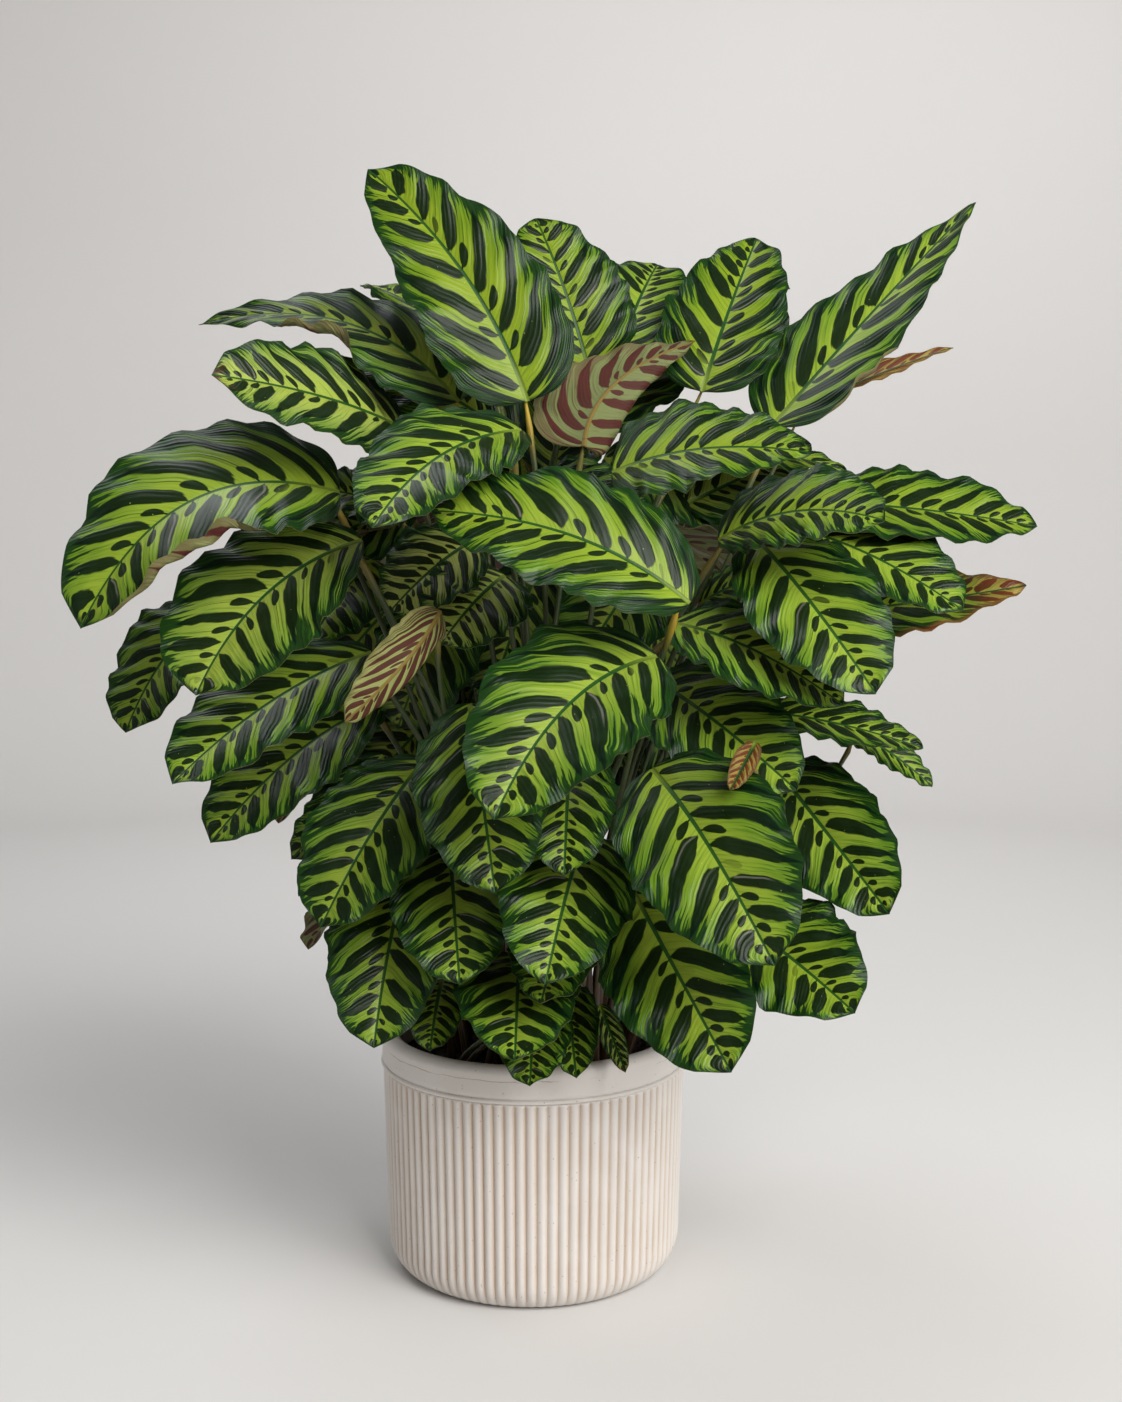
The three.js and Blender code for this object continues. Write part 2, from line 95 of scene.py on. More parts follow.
def row(name, base, tip, wide, look, **rest):
    """One leaf of the front, from places in mm: base and tip are (across, up, near), and look is
    the direction that the upper side faces. rest may set arch, bend, fold, widest, blunt
    and sway, which shape the blade and stalk, curl, which rolls an edge (side, share, from, to),
    and bright, pale, dry, ripe and slant, which colour the leaf."""
    return leaf(f"leaf_{name}", seen_at(*base), seen_at(*tip), wide, direction(*look), **rest)


def leaf(
    node, base, tip, wide, face, arch=0, bend=0, fold=15, widest=0.86, blunt=0.5, sway=(0, 0),
    first=True, curl=None, **tones,
):
    """One leaf: base and tip in metres, its other lengths in mm and its fold in degrees. first is
    whether it has a hole of its own, or shares that of its node's first leaf."""
    return SimpleNamespace(
        node=node, base=base, tip=tip, wide=wide * MM, face=face, arch=arch * MM, bend=bend * MM,
        fold=math.radians(fold), widest=widest, blunt=blunt, sway=np.array((*sway, 0)) * MM,
        first=first, curl=curl,
        tones={name: tones.get(name, usual) for name, usual in USUAL_TONES.items()},
    )


def beside(name, *shape, **rest):
    """A leaf that comes out of the named one's sheath, and is one piece with it."""
    return row(name, *shape, first=False, **rest)


FRONT_LEAVES = (
    row("crown_1", (-4, 618, 70), (-116, 780, 35), 98, (0, 25),
        arch=6, bend=12, widest=0.62, sway=(15, -30), bright=1.0, ripe=1.0),
    row("crown_2", (40, 637, 0), (2, 746, -20), 92, (10, 25),
        arch=8, widest=0.74, sway=(-10, 20), bright=0.8),
    row("crown_3", (60, 650, -10), (88, 714, -100), 88, (0, 30), arch=8, sway=(5, 0), bright=0.2),
    row("crown_4", (120, 625, 15), (158, 732, -65), 92, (-10, 20),
        arch=6, widest=0.68, sway=(0, 15), bright=0.9),
    row("crown_5", (170, 601, 40), (312, 757, -20), 88, (-30, 30),
        bend=-2, widest=0.54, blunt=0.8, sway=(5, -15), bright=0.3, ripe=1.0,
        curl=(1, 0.13, 0.0, 0.5)),
    row("left_1", (-53, 618, 45), (-237, 672, 5), 88, (0, 50),
        arch=22, bend=20, widest=0.5, blunt=0.85, sway=(25, -45), bright=-0.7, ripe=1.0,
        curl=(-1, 0.3, 0.3, 0.75)),
    row("left_2", (-91, 598, 35), (-228, 637, 140), 86, (0, 30),
        arch=8, sway=(10, 30), bright=0.0, pale=0.45, dry=0.25),
    row("left_3", (-138, 554, 75), (-325, 457, 150), 130, (-15, 38),
        arch=30, bend=24, widest=0.7, sway=(0, -5), bright=0.4, ripe=0.7,
        curl=(-1, 0.2, 0.35, 1.05)),
    row("left_4", (-122, 520, 90), (-243, 409, 150), 110, (0, 42),
        arch=6, bend=16, widest=1.15, sway=(5, -15), bright=0.4, pale=0.3),
    row("left_5", (-225, 475, -5), (-294, 382, 40), 76, (-10, 45),
        arch=6, bend=6, sway=(10, 0), bright=0.3, dry=0.15),
    row("left_6", (-116, 440, 60), (-261, 345, 140), 84, (0, 50),
        arch=6, bend=7, widest=1.0, sway=(15, 0), bright=0.3),
    row("left_7", (-109, 404, 15), (-234, 302, 75), 84, (0, 50),
        arch=6, bend=8, widest=0.95, bright=0.2),
    row("centre_1", (-8, 598, 80), (-115, 529, 180), 86, (0, 45),
        arch=8, bend=12, sway=(-5, -15), bright=0.3, pale=0.1, dry=0.15),
    row("centre_2", (36, 586, 75), (115, 660, 15), 90, (150, 20),
        arch=6, bend=19, fold=30, widest=0.5, blunt=0.85, sway=(0, -20), pale=0.0, ripe=0.2,
        curl=(-1, 0.55, -0.1, 1.15)),
    row("centre_3", (56, 568, 80), (199, 582, 120), 94, (0, 45),
        arch=8, bend=-5, widest=0.62, blunt=0.65, sway=(0, -10), bright=0.6),
    row("centre_4", (112, 475, 155), (-74, 541, 140), 98, (0, 40),
        arch=10, bend=11, sway=(0, 25), bright=0.6, ripe=1.0),
    row("centre_5", (89, 437, 135), (-29, 319, 230), 108, (-5, 38),
        arch=14, bend=12, sway=(5, -10), bright=0.35, pale=0.15, ripe=0.8),
    row("right_1", (100, 578, -20), (224, 569, -10), 58, (10, 52),
        arch=6, bend=-6, widest=0.62, blunt=0.7, sway=(-10, -10), bright=0.6),
    row("right_2", (132, 520, 95), (251, 534, 155), 82, (0, 45),
        arch=8, bend=-10, sway=(-20, 5), bright=0.4, dry=0.15),
    row("right_3", (190, 547, 30), (360, 530, 65), 88, (0, 52), arch=4, sway=(-5, -20), bright=0.6),
    row("right_4", (156, 524, 80), (246, 410, 170), 86, (-10, 40),
        arch=8, widest=1.05, sway=(20, -10), bright=0.3),
    row("right_5", (187, 528, 40), (308, 470, 115), 84, (0, 50), arch=8, sway=(10, -5), bright=0.3),
    row("right_6", (191, 467, 6), (353, 488, 35), 76, (0, 50),
        arch=4, bend=8, widest=0.72, blunt=0.65, sway=(10, -20), bright=0.7, dry=0.5),
    row("right_7", (99, 461, 90), (223, 402, 145), 78, (0, 50),
        arch=10, widest=0.95, sway=(-45, 15), bright=-0.2),
    row("right_8", (87, 420, 65), (190, 340, 145), 86, (-15, 40),
        arch=8, sway=(45, -25), bright=0.35),
    row("right_9", (160, 397, 45), (281, 371, 90), 54, (0, 60),
        arch=8, bend=5, sway=(45, 40), bright=0.3),
    row("low_1", (85, 356, 120), (175, 212, 235), 104, (-22, 35),
        arch=14, bend=-4, widest=0.95, sway=(-5, 15)),
    row("low_2", (173, 358, 30), (258, 250, 140), 80, (-24, 35),
        arch=4, widest=0.95, sway=(-25, 30), bright=0.1),
    row("low_3", (72, 267, 95), (144, 133, 205), 94, (-20, 35),
        arch=8, widest=0.95, sway=(-20, 5), bright=0.4),
    row("low_4", (145, 247, 95), (234, 177, 180), 90, (0, 35), arch=6, sway=(-20, 0), bright=0.6),
    row("low_5", (-46, 403, 98), (-28, 265, 180), 86, (0, 30),
        arch=10, widest=1.05, sway=(5, 0), bright=0.4),
    row("low_6", (36, 308, 85), (8, 198, 190), 92, (0, 35), arch=10, sway=(-10, 10), bright=0.0),
    row("low_7", (-60, 300, 55), (-54, 198, 160), 84, (0, 35),
        arch=10, widest=1.1, sway=(-15, -15), bright=-0.1),
    row("low_8", (-78, 362, 65), (-155, 240, 135), 88, (-10, 35),
        arch=10, widest=0.95, sway=(-35, -10), bright=-0.3),
    row("low_9", (-108, 366, 40), (-176, 290, 75), 48, (-10, 45),
        arch=8, bend=-7, sway=(10, -10), bright=-0.6),
    row("low_10", (-93, 275, 55), (-117, 151, 135), 86, (-5, 25), arch=10, bright=0.3),
    row("low_11", (-10, 220, 75), (-14, 142, 185), 84, (0, 50), arch=6),
    row("low_12", (1, 186, 75), (-3, 123, 150), 56, (0, 40), arch=6, sway=(-15, -20)),
    row("inner_1", (-67, 469, 110), (-136, 390, 150), 42, (190, 20),
        arch=-12, sway=(-25, -25), pale=0.35, slant=1.9, curl=(1, 0.55, 0.05, 1.05)),
    row("inner_2", (-42, 520, 50), (-103, 469, 75), 72, (0, 40),
        arch=6, sway=(0, -15), pale=0.9, dry=0.1, bright=0.0),
    row("inner_3", (30, 440, 5), (20, 330, 30), 92, (0, 35), arch=8, sway=(10, 40), bright=-0.6),
    row("inner_4", (110, 330, 25), (150, 240, 60), 82, (0, 35),
        arch=8, bend=-18, sway=(10, -5), bright=-0.4),
    row("inner_5", (0, 560, 15), (80, 520, 35), 84, (0, 45), arch=8, sway=(20, 15), bright=-0.6),
    row("inner_6", (-60, 380, 20), (-40, 290, 10), 90, (0, 35), arch=8, sway=(-10, 5), bright=-0.5),
    row("inner_7", (-115, 506, -20), (-159, 449, 30), 80, (0, 40),
        arch=6, sway=(5, 0), bright=-0.5),
)

# Leaves that share the sheath of a front leaf.
SIDE_LEAVES = (
    beside("crown_5", (185, 608, 20), (298, 656, -25), 26, (0, 60),
        fold=35, bend=-6, sway=(5, -10), dry=0.9, pale=0.4),
    beside("crown_1", (-10, 588, 15), (-125, 655, -10), 84, (0, 35),
        arch=8, sway=(-25, 25), bright=-0.9),
    beside("inner_3", (88, 510, 10), (30, 425, 30), 86, (0, 35),
        arch=8, sway=(5, 5), bright=-0.8),
    beside("crown_2", (14, 566, -30), (34, 664, -30), 80, (0, 30),
        arch=8, sway=(-10, 25), bright=-0.8),
    beside("inner_3", (4, 500, -10), (-32, 402, 20), 80, (0, 36),
        arch=8, sway=(5, 5), bright=-0.8),
    beside("inner_5", (50, 578, -55), (146, 532, -55), 82, (0, 42),
        arch=8, sway=(-5, -5), bright=-0.8),
    beside("inner_7", (-90, 538, 15), (-160, 556, 30), 60, (0, 45),
        arch=6, sway=(0, 15), bright=-0.6),
    beside("inner_6", (-55, 478, 10), (-98, 385, 25), 82, (0, 38),
        arch=8, sway=(-5, 15), bright=-0.8),
    beside("inner_4", (85, 425, -15), (128, 330, -5), 84, (0, 38),
        arch=8, sway=(-5, -25), bright=-0.6),
    beside("left_3", (-134, 534, 35), (-210, 521, 60), 76, (0, 60),
        arch=6, sway=(-5, -25), bright=-0.5),
    beside("inner_2", (-20, 495, 60), (-67, 445, 95), 78, (0, 40),
        arch=6, sway=(10, -40), pale=0.6, bright=0.0, dry=0.2),
    beside("right_2", (119, 474, 35), (187, 497, 55), 46, (0, 50), arch=6, sway=(5, 5)),
    beside("right_9", (225, 385, 30), (288, 343, 60), 34, (0, 60),
        arch=4, sway=(20, -10)),
    beside("right_8", (160, 375, 165), (142, 340, 185), 20, (0, 30),
        fold=40, sway=(45, 0), dry=1.0),
    beside("low_3", (48, 183, 85), (67, 133, 112), 22, (0, 20),
        fold=40, sway=(-20, 0), pale=0.5, dry=0.3),
    beside("low_5", (26, 366, 90), (22, 278, 168), 66, (0, 40), arch=8, sway=(-10, -15)),
    beside("low_6", (23, 245, 70), (5, 184, 165), 64, (0, 45), arch=6, sway=(10, 25)),
    beside("low_9", (-108, 333, 10), (-171, 263, 50), 44, (-10, 45),
        arch=6, bend=-4, bright=-0.6),
    beside("low_11", (-67, 201, 65), (-76, 149, 117), 42, (0, 40), arch=4, sway=(20, 10)),
    beside("low_12", (23, 198, 65), (31, 129, 145), 40, (0, 40), arch=4, sway=(-5, -25)),
)

# Young leaves in the shade between the stalks, their ground painted dark as shade.
PAINTED_SHADE_TONE = -0.9
HEART_LEAVES = tuple(beside(*shape, bright=PAINTED_SHADE_TONE) for shape in (
    ("inner_7", (-88, 490, -45), (-152, 418, -40), 82, (-10, 25)),
    ("inner_6", (-62, 408, -45), (-130, 330, -50), 82, (-10, 25)),
    ("inner_6", (-28, 455, -30), (-62, 362, -35), 80, (0, 25)),
    ("inner_3", (48, 402, -35), (84, 312, -40), 84, (5, 25)),
    ("inner_5", (66, 482, -35), (128, 400, -45), 84, (10, 25)),
    ("inner_7", (-85, 550, -40), (-172, 508, -45), 78, (-5, 30)),
    ("inner_5", (-5, 525, -45), (-15, 622, -60), 84, (0, 20)),
    ("inner_5", (108, 545, -40), (198, 588, -50), 74, (10, 30)),
))

# Leaves round the back, in rings. A ring gives how many, the turn of the first and last, radius
# and height of the blades' bases and tips in mm, their width, and whether every second leaf is
# one piece with the leaf before it or each is one piece with the leaf above.
BACK_RINGS = (
    dict(count=4, turns=(125, 235), base=(50, 620), tip=(160, 700), wide=88, pairs=True),
    dict(count=8, turns=(110, 258), base=(85, 550), tip=(236, 466), wide=92, pairs=True),
    dict(count=5, turns=(112, 248), base=(90, 430), tip=(215, 325), wide=84),
    dict(count=5, turns=(116, 244), base=(85, 290), tip=(185, 190), wide=84, joins_above=True),
)
BACK_SWAYS = {2: (-5, -5), 3: (40, 10), 4: (-30, 15), 12: (-5, 15), 14: (10, 5), 18: (10, -5)}
BACK_ARCH = 12
BACK_SHIFT = 20
BACK_TWIST = 12
BACK_TWIST_STEP = 2.4
BACK_LIFT = 50
BACK_LIFT_STEP = 5


def back_leaves():
    """The rings' leaves: each tip is turned a little by a sine of its place in the count, and
    every second leaf is raised while the others are lowered."""
    leaves = []
    for level, ring in enumerate(BACK_RINGS):
        for k, turn in enumerate(np.linspace(*ring["turns"], ring["count"])):
            place = len(leaves) + 1
            shift = BACK_SHIFT if place % 2 == 0 else -BACK_SHIFT
            joined = ring["count"] if ring.get("joins_above") else 0
            if ring.get("pairs") and place % 2 == 0:
                joined = 1
            twist = BACK_TWIST * math.sin(BACK_TWIST_STEP * place)
            up = np.array((0, 0, 1))
            base = direction(turn, 0) * ring["base"][0] + up * (ring["base"][1] + shift)
            tip = direction(turn + twist, 0) * ring["tip"][0] + up * (ring["tip"][1] + shift)
            face = direction(turn, BACK_LIFT - BACK_LIFT_STEP * level)
            leaves.append(leaf(
                f"leaf_back_{place - joined}", base * MM, tip * MM, ring["wide"], face,
                arch=BACK_ARCH, sway=BACK_SWAYS.get(place, (0, 0)), first=joined == 0,
            ))
    return leaves


def give_holes(leaves):
    """Holes lie on a sunflower spiral. Each stalk takes the free one nearest to its own side, and
    a leaf that isn't the first of its piece shares the first one's."""
    first = [one for one in leaves if one.first]
    turns = np.arange(len(first)) * GOLDEN_TURN
    radii = HOLE_SPREAD * np.sqrt((np.arange(len(first)) + 0.5) / len(first))
    free = list(np.stack((radii * np.cos(turns), radii * np.sin(turns)), axis=-1))
    for one in first:
        aim = one.base[:2] * HOLE_SPREAD
        aim = aim / np.hypot(np.linalg.norm(one.base[:2]), one.base[2] - SOIL_TOP)
        nearest = int(np.argmin([np.linalg.norm(hole - aim) for hole in free]))
        one.hole = free.pop(nearest)
    holes = {one.node: one.hole for one in first}
    for one in leaves:
        one.hole = holes[one.node]


# ---------------------------------------------------------------- surfaces


def unit(vectors):
    """Vectors scaled to length one, along the last axis."""
    return vectors / np.linalg.norm(vectors, axis=-1, keepdims=True)


def smooth(low, high, x):
    """0 below low, 1 above high, and 3t² - 2t³ in between."""
    t = np.clip((x - low) / (high - low), 0, 1)
    return t * t * (3 - 2 * t)


def quad_grid(rows, columns, start=0, round_closed=False):
    """The four corners of every cell of a grid of points that are numbered row by row."""
    i, j = np.meshgrid(
        np.arange(rows - 1), np.arange(columns - (not round_closed)), indexing="ij",
    )
    here, there = i * columns + j, i * columns + (j + 1) % columns
    cells = np.stack((here, there, there + columns, here + columns), axis=-1)
    return start + cells.reshape(-1, 4)


def quad_cap(ring):
    """A flat ring of an even number of points, closed by strips of quads from side to side."""
    half = len(ring) // 2
    k = np.arange(half - 1)
    return np.stack((ring[k], ring[k + 1], ring[len(ring) - 2 - k], ring[len(ring) - 1 - k]), axis=-1)


def shell(points, faces, kind, **facts):
    """A closed shell: its faces turned to point outwards, the material slot of each in kind, and
    one value a point for each named fact."""
    corners = points[faces]
    across = np.cross(corners[:, 2] - corners[:, 0], corners[:, 3] - corners[:, 1])
    if np.einsum("ij,ij->", corners.mean(axis=1) - points.mean(axis=0), across) < 0:
        faces = faces[:, ::-1]
    kinds = np.broadcast_to(kind, len(faces))
    return SimpleNamespace(points=points, faces=faces, kinds=kinds, facts=facts)


def tube(rings, kind=0, **facts):
    """A closed shell from a grid of rings, rows by columns, with a cap at each end."""
    rows, columns = rings.shape[:2]
    first = np.arange(columns)
    faces = np.concatenate((
        quad_grid(rows, columns, round_closed=True),
        quad_cap(first)[:, ::-1],
        quad_cap(first + (rows - 1) * columns),
    ))
    facts = {name: np.broadcast_to(value, (rows, columns)).ravel() for name, value in facts.items()}
    return shell(rings.reshape(-1, 3), faces, kind, **facts)


def revolve(radii, heights, columns):
    """Rings of a profile turned about the upright axis. radii may also be one row a column."""
    turn = np.linspace(0, 2 * math.pi, columns, endpoint=False)
    radii = np.broadcast_to(np.reshape(radii, (len(heights), -1)), (len(heights), columns))
    heights = np.broadcast_to(np.reshape(heights, (-1, 1)), radii.shape)
    return np.stack((radii * np.cos(turn), radii * np.sin(turn), heights), axis=-1)


def arc(centre, reach, start, end, count):
    """Points of an ellipse's arc from start to end degrees, as (radius, height) rows."""
    angle = np.radians(np.linspace(start, end, count))
    return np.stack((centre[0] + reach[0] * np.cos(angle), centre[1] + reach[1] * np.sin(angle)), -1)


# Edges that turn by more than this are drawn sharp.
SHARP_ANGLE = math.radians(50)


def add_piece(name, shells, materials, replaced):
    """One mesh of several closed shells, made a piece that stands for CAD nodes. The facts along
    and across make its UV map, and each other fact is an attribute of its points."""
    counts = np.cumsum([0] + [len(one.points) for one in shells])
    points = np.concatenate([one.points for one in shells])
    faces = np.concatenate([one.faces + start for one, start in zip(shells, counts)])
    kinds = np.concatenate([one.kinds for one in shells])
    facts = {
        fact: np.concatenate([one.facts[fact] for one in shells]) for fact in shells[0].facts
    }
    flat = [facts.pop(fact) for fact in ("along", "across") if fact in facts]
    mesh = bpy.data.meshes.new(name)
    mesh.vertices.add(len(points))
    mesh.vertices.foreach_set("co", points.ravel())
    mesh.loops.add(faces.size)
    mesh.loops.foreach_set("vertex_index", faces.ravel())
    mesh.polygons.add(len(faces))
    mesh.polygons.foreach_set("loop_start", np.arange(len(faces)) * 4)
    mesh.polygons.foreach_set("material_index", kinds)
    mesh.polygons.foreach_set("use_smooth", np.ones(len(faces), bool))
    for fact, values in facts.items():
        mesh.attributes.new(fact, "FLOAT", "POINT").data.foreach_set("value", values)
    if flat:
        corners = np.stack(flat, axis=-1)[faces.ravel()]
        mesh.uv_layers.new(name="leaf").data.foreach_set("uv", corners.ravel())
    mesh.update(calc_edges=True)
    mesh.set_sharp_from_angle(angle=SHARP_ANGLE)
    for material in materials:
        mesh.materials.append(material)
    piece = bpy.data.objects.new(name, mesh)
    bpy.context.scene.collection.objects.link(piece)
    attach(piece, "root")
    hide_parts(*replaced)
    return piece


# ---------------------------------------------------------------- leaf

# The blade's grid, and the material slots of a leaf's faces.
BLADE_ROWS = 72
BLADE_COLUMNS = 25
CURLED_COLUMNS = 45
ROW_CROWD = 0.8
ROW_EASE = 0.4
MIDDLE_PITCH = 0.35
UPPER, UNDER, STALK = 0, 1, 2

# The blade's section: its least half-widths, its closing tip, its rim, and the dish of each half.
BASE_HALF_WIDTH = 2.5 * MM
TIP_HALF_WIDTH = 0.35 * MM
TIP_SHARE = 0.06
TIP_SHARPNESS = 0.45
RIM_THICKNESS = 0.3 * MM
DISH_ROUND = 0.0006
DISH_DROP = 0.0245
DISH_FLATTENING = 0.55

# The groove and ridge along the midrib: how deep, and how far they reach to either side.
GROOVE_DEPTH = 0.35 * MM
GROOVE_REACH = 1.2 * MM
RIDGE_DEPTH = 0.9 * MM
RIDGE_REACH = 1.3 * MM
RIDGE_TAPER = 0.75

# Where side veins leave the midrib. They run forwards by VEIN_LEAN and bow by VEIN_BOW, and fan
# out less at the base and much less at the tip.
VEIN_LEAN = 0.21
VEIN_BOW = 0.12
BASE_FAN = 0.45
TIP_LOSS = 0.75
LEAST_PLACE = -0.15

# How many side bands there are from base to tip: even ones, and more at both ends.
EVEN_BANDS = 5.1
BASE_BANDS = 0.9
BASE_CROWD = 0.12
TIP_BANDS = 1.5
FIRST_BAND = 0.6

# The waves of the edge: how many along the blade, and how high as shares of the ripple.
CAD_BANDS = 7
FEW_CAD_BANDS = 5
SMALL_WIDTH = 87 * MM
FULL_WAVE_WIDTH = 60 * MM
BROAD_HEIGHT = 0.75
FINE_WAVES = 7.5
FINE_HEIGHT = 0.7
ROLL_WAVES = 1.3
ROLL_HEIGHT = 0.35
QUILT_HEIGHT = 0.3
NOTCHES = 4.3
SMALL_NOTCHES = 9.7
NOTCH_DEPTH = 0.036

# A rolled edge follows a small circle for CURL_TURN radians, and goes on straight. The roll
# grows and fades over these shares of the blade.
CURL_RADIUS = 2.6 * MM
CURL_TURN = 2.5
CURL_GROWTH = 0.15
CURL_FADE = 0.12

# The stalk's curve rises from its hole by a share of its reach, arrives under the blade from
# below and from inside by others, and ends inside the blade. Its radius is shares of the usual
# one: plain, more in the sheath and in the swelling below the blade, and less at the very end.
STALK_SIDES = 12
STALK_RINGS = 26
STALK_CROWD = 0.7
STALK_RISE = 0.45
STALK_DROP = 0.22
STALK_INWARD = 0.1
STALK_SUNK = 7 * MM
STALK_UNDER = 1.5 * MM
STALK_HOLLOW = 0.12
STALK_PLAIN = 0.86
STALK_LEAST = 0.55
STALK_FULL_WIDTH = 150 * MM
END_SHARE = 0.3
END_LENGTH = 9 * MM
SHEATH_GROWTH = 0.75
SHEATH_SHARE = 0.4
SWELLING_GROWTH = 0.45
SWELLING_BELOW = 17 * MM
SWELLING_REACH = 6 * MM


def bezier(points, t):
    """A Bezier curve through any number of control points, and its direction, at each t."""
    order = len(points) - 1
    t = np.reshape(t, (-1, 1))

    def curve(controls):
        last = len(controls) - 1
        return sum(
            math.comb(last, k) * (1 - t) ** (last - k) * t ** k * control
            for k, control in enumerate(controls)
        )

    steps = [order * (b - a) for a, b in zip(points, points[1:])]
    return curve(points), unit(curve(steps))


def spine_of(one):
    """The blade's middle line: a quadratic curve over the line from base to tip, whose knee is
    pushed along the face by arch and along the right by bend."""
    ahead = unit(one.tip - one.base)
    face = unit(one.face - ahead * (one.face @ ahead))
    right = np.cross(ahead, face)
    knee = one.base + (one.tip - one.base) * KNEE_SHARE + 2 * one.arch * face + 2 * one.bend * right
    return (one.base, knee, one.tip), face


def vein_place(along, across, slant):
    """Where a point's side vein leaves the midrib: veins run outwards and forwards, slant times as
    far as usual, and fan out less near the base and the tip."""
    away = np.abs(across)
    base_fan = BASE_FAN + (1 - BASE_FAN) * smooth(0, 0.35, along)
    fan = base_fan * (1 - TIP_LOSS * smooth(0.6, 1, along))
    return along - slant * (VEIN_LEAN * away + VEIN_BOW * away ** 2) * fan


def vein_count(place):
    """How many side bands lie between the base and a place: even ones, more by an exponential
    near the base, and more by a fourth power near the tip."""
    growth = 1 - np.exp(-np.maximum(place, LEAST_PLACE) / BASE_CROWD)
    return EVEN_BANDS * place + BASE_BANDS * growth + TIP_BANDS * place ** 4 - FIRST_BAND


def blade_grid(one):
    """The blade's rows as steps from 0 to 1 that lie closer at both ends, their places along the
    spine, and its columns' places from -1 to 1 across it. Columns lie closer at the midrib, or at
    both edges of a leaf with a rolled edge."""
    spread = np.linspace(0, 1, BLADE_ROWS)
    step = spread - ROW_CROWD * np.sin(2 * math.pi * spread) / (2 * math.pi)
    along = (1 - ROW_EASE) * step + ROW_EASE / 2 * (1 - np.cos(math.pi * step))
    if one.curl:
        return step, along, np.sin(np.linspace(-1, 1, CURLED_COLUMNS) * math.pi / 2)
    side = np.linspace(-1, 1, BLADE_COLUMNS)
    return step, along, side * (MIDDLE_PITCH + (1 - MIDDLE_PITCH) * np.abs(side))


def half_width(one, along):
    """The sine of a power of the way along, itself raised to a power, which closes over the last
    share of the tip. It is nowhere less than a line that narrows from the base to the tip."""
    outline = np.sin(math.pi * along ** one.widest).clip(0) ** one.blunt
    outline = outline * ((1 - along) / TIP_SHARE).clip(0, 1) ** TIP_SHARPNESS
    least = BASE_HALF_WIDTH + (TIP_HALF_WIDTH - BASE_HALF_WIDTH) * along
    return np.maximum(least, one.wide / 2 * outline)


def edge_waves(one, step, u, v, random):
    """How far the surface is raised, in ripples: a broad and a fine wave of each edge, a slow roll
    of the blade, and quilting between the side veins. With it comes the factor of the half-width
    that scallops the edge. All fade at base and tip, and are less on a narrow blade."""
    away = np.abs(v)
    fade = np.sqrt(np.sin(math.pi * step).clip(0)) * min(1, one.wide / FULL_WAVE_WIDTH)
    left, right, middle = random.uniform(0, 2 * math.pi, 3)
    turn = np.where(v < 0, left, right)
    bands = FEW_CAD_BANDS if one.wide < SMALL_WIDTH else CAD_BANDS
    broad = BROAD_HEIGHT * v * away * np.cos(math.pi * bands * step)
    fine = np.sin(2 * math.pi * (FINE_WAVES * u - 0.9 * away) + 2 * turn)
    fine = FINE_HEIGHT * away ** 1.6 * fine
    roll = ROLL_HEIGHT * v * away * np.sin(2 * math.pi * ROLL_WAVES * u + middle)
    count = vein_count(vein_place(u, v, one.tones["slant"]))
    quilt = QUILT_HEIGHT * away * (1 - away) * np.cos(2 * math.pi * count)
    notch = np.sin(2 * math.pi * NOTCHES * u + turn)
    notch = notch + 0.6 * np.sin(2 * math.pi * SMALL_NOTCHES * u - turn)
    return fade * (broad + fine + roll + quilt), 1 + NOTCH_DEPTH * fade * notch * away ** 2


def blade(one, settings, random):
    """The blade: its half-width to either side of the spine, dished towards the middle, waved
    along both edges, quilted between the side veins, with a groove on top and a ridge below
    along the midrib."""
    step, along, across = blade_grid(one)
    controls, face = spine_of(one)
    middle, ahead = bezier(controls, along)
    right = unit(np.cross(ahead, face))
    face = np.cross(right, ahead)

    u, v = along[:, None], across[None, :]
    away, hand = np.abs(v), np.sign(v)
    reach = half_width(one, along)[:, None]
    wave, scallop = edge_waves(one, step[:, None], u, v, random)
    dish = np.sqrt(v ** 2 + DISH_ROUND) - DISH_DROP - DISH_FLATTENING * v ** 2
    raised = reach * math.sin(one.fold) * dish + settings.ripple * wave
    offset = reach * v
    groove = GROOVE_DEPTH * np.exp(-(offset / GROOVE_REACH) ** 2)
    ridge = RIDGE_DEPTH * (1 - RIDGE_TAPER * u) * np.exp(-(offset / RIDGE_REACH) ** 2)
    thickness = RIM_THICKNESS + (settings.thickness - RIM_THICKNESS) * (1 - away ** 4)

    offset, raised, lean = curl(one, u, v, offset * scallop * math.cos(one.fold), raised)
    right, face = right[:, None], face[:, None]
    flat = middle[:, None] + right * offset[..., None]
    out = face * np.cos(lean)[..., None] - right * (hand * np.sin(lean))[..., None]
    upper = flat + face * raised[..., None] - out * groove[..., None]
    lower = flat + face * raised[..., None] - out * (thickness + ridge)[..., None]
    return blade_shell(one, upper, lower, u, v, reach * v)


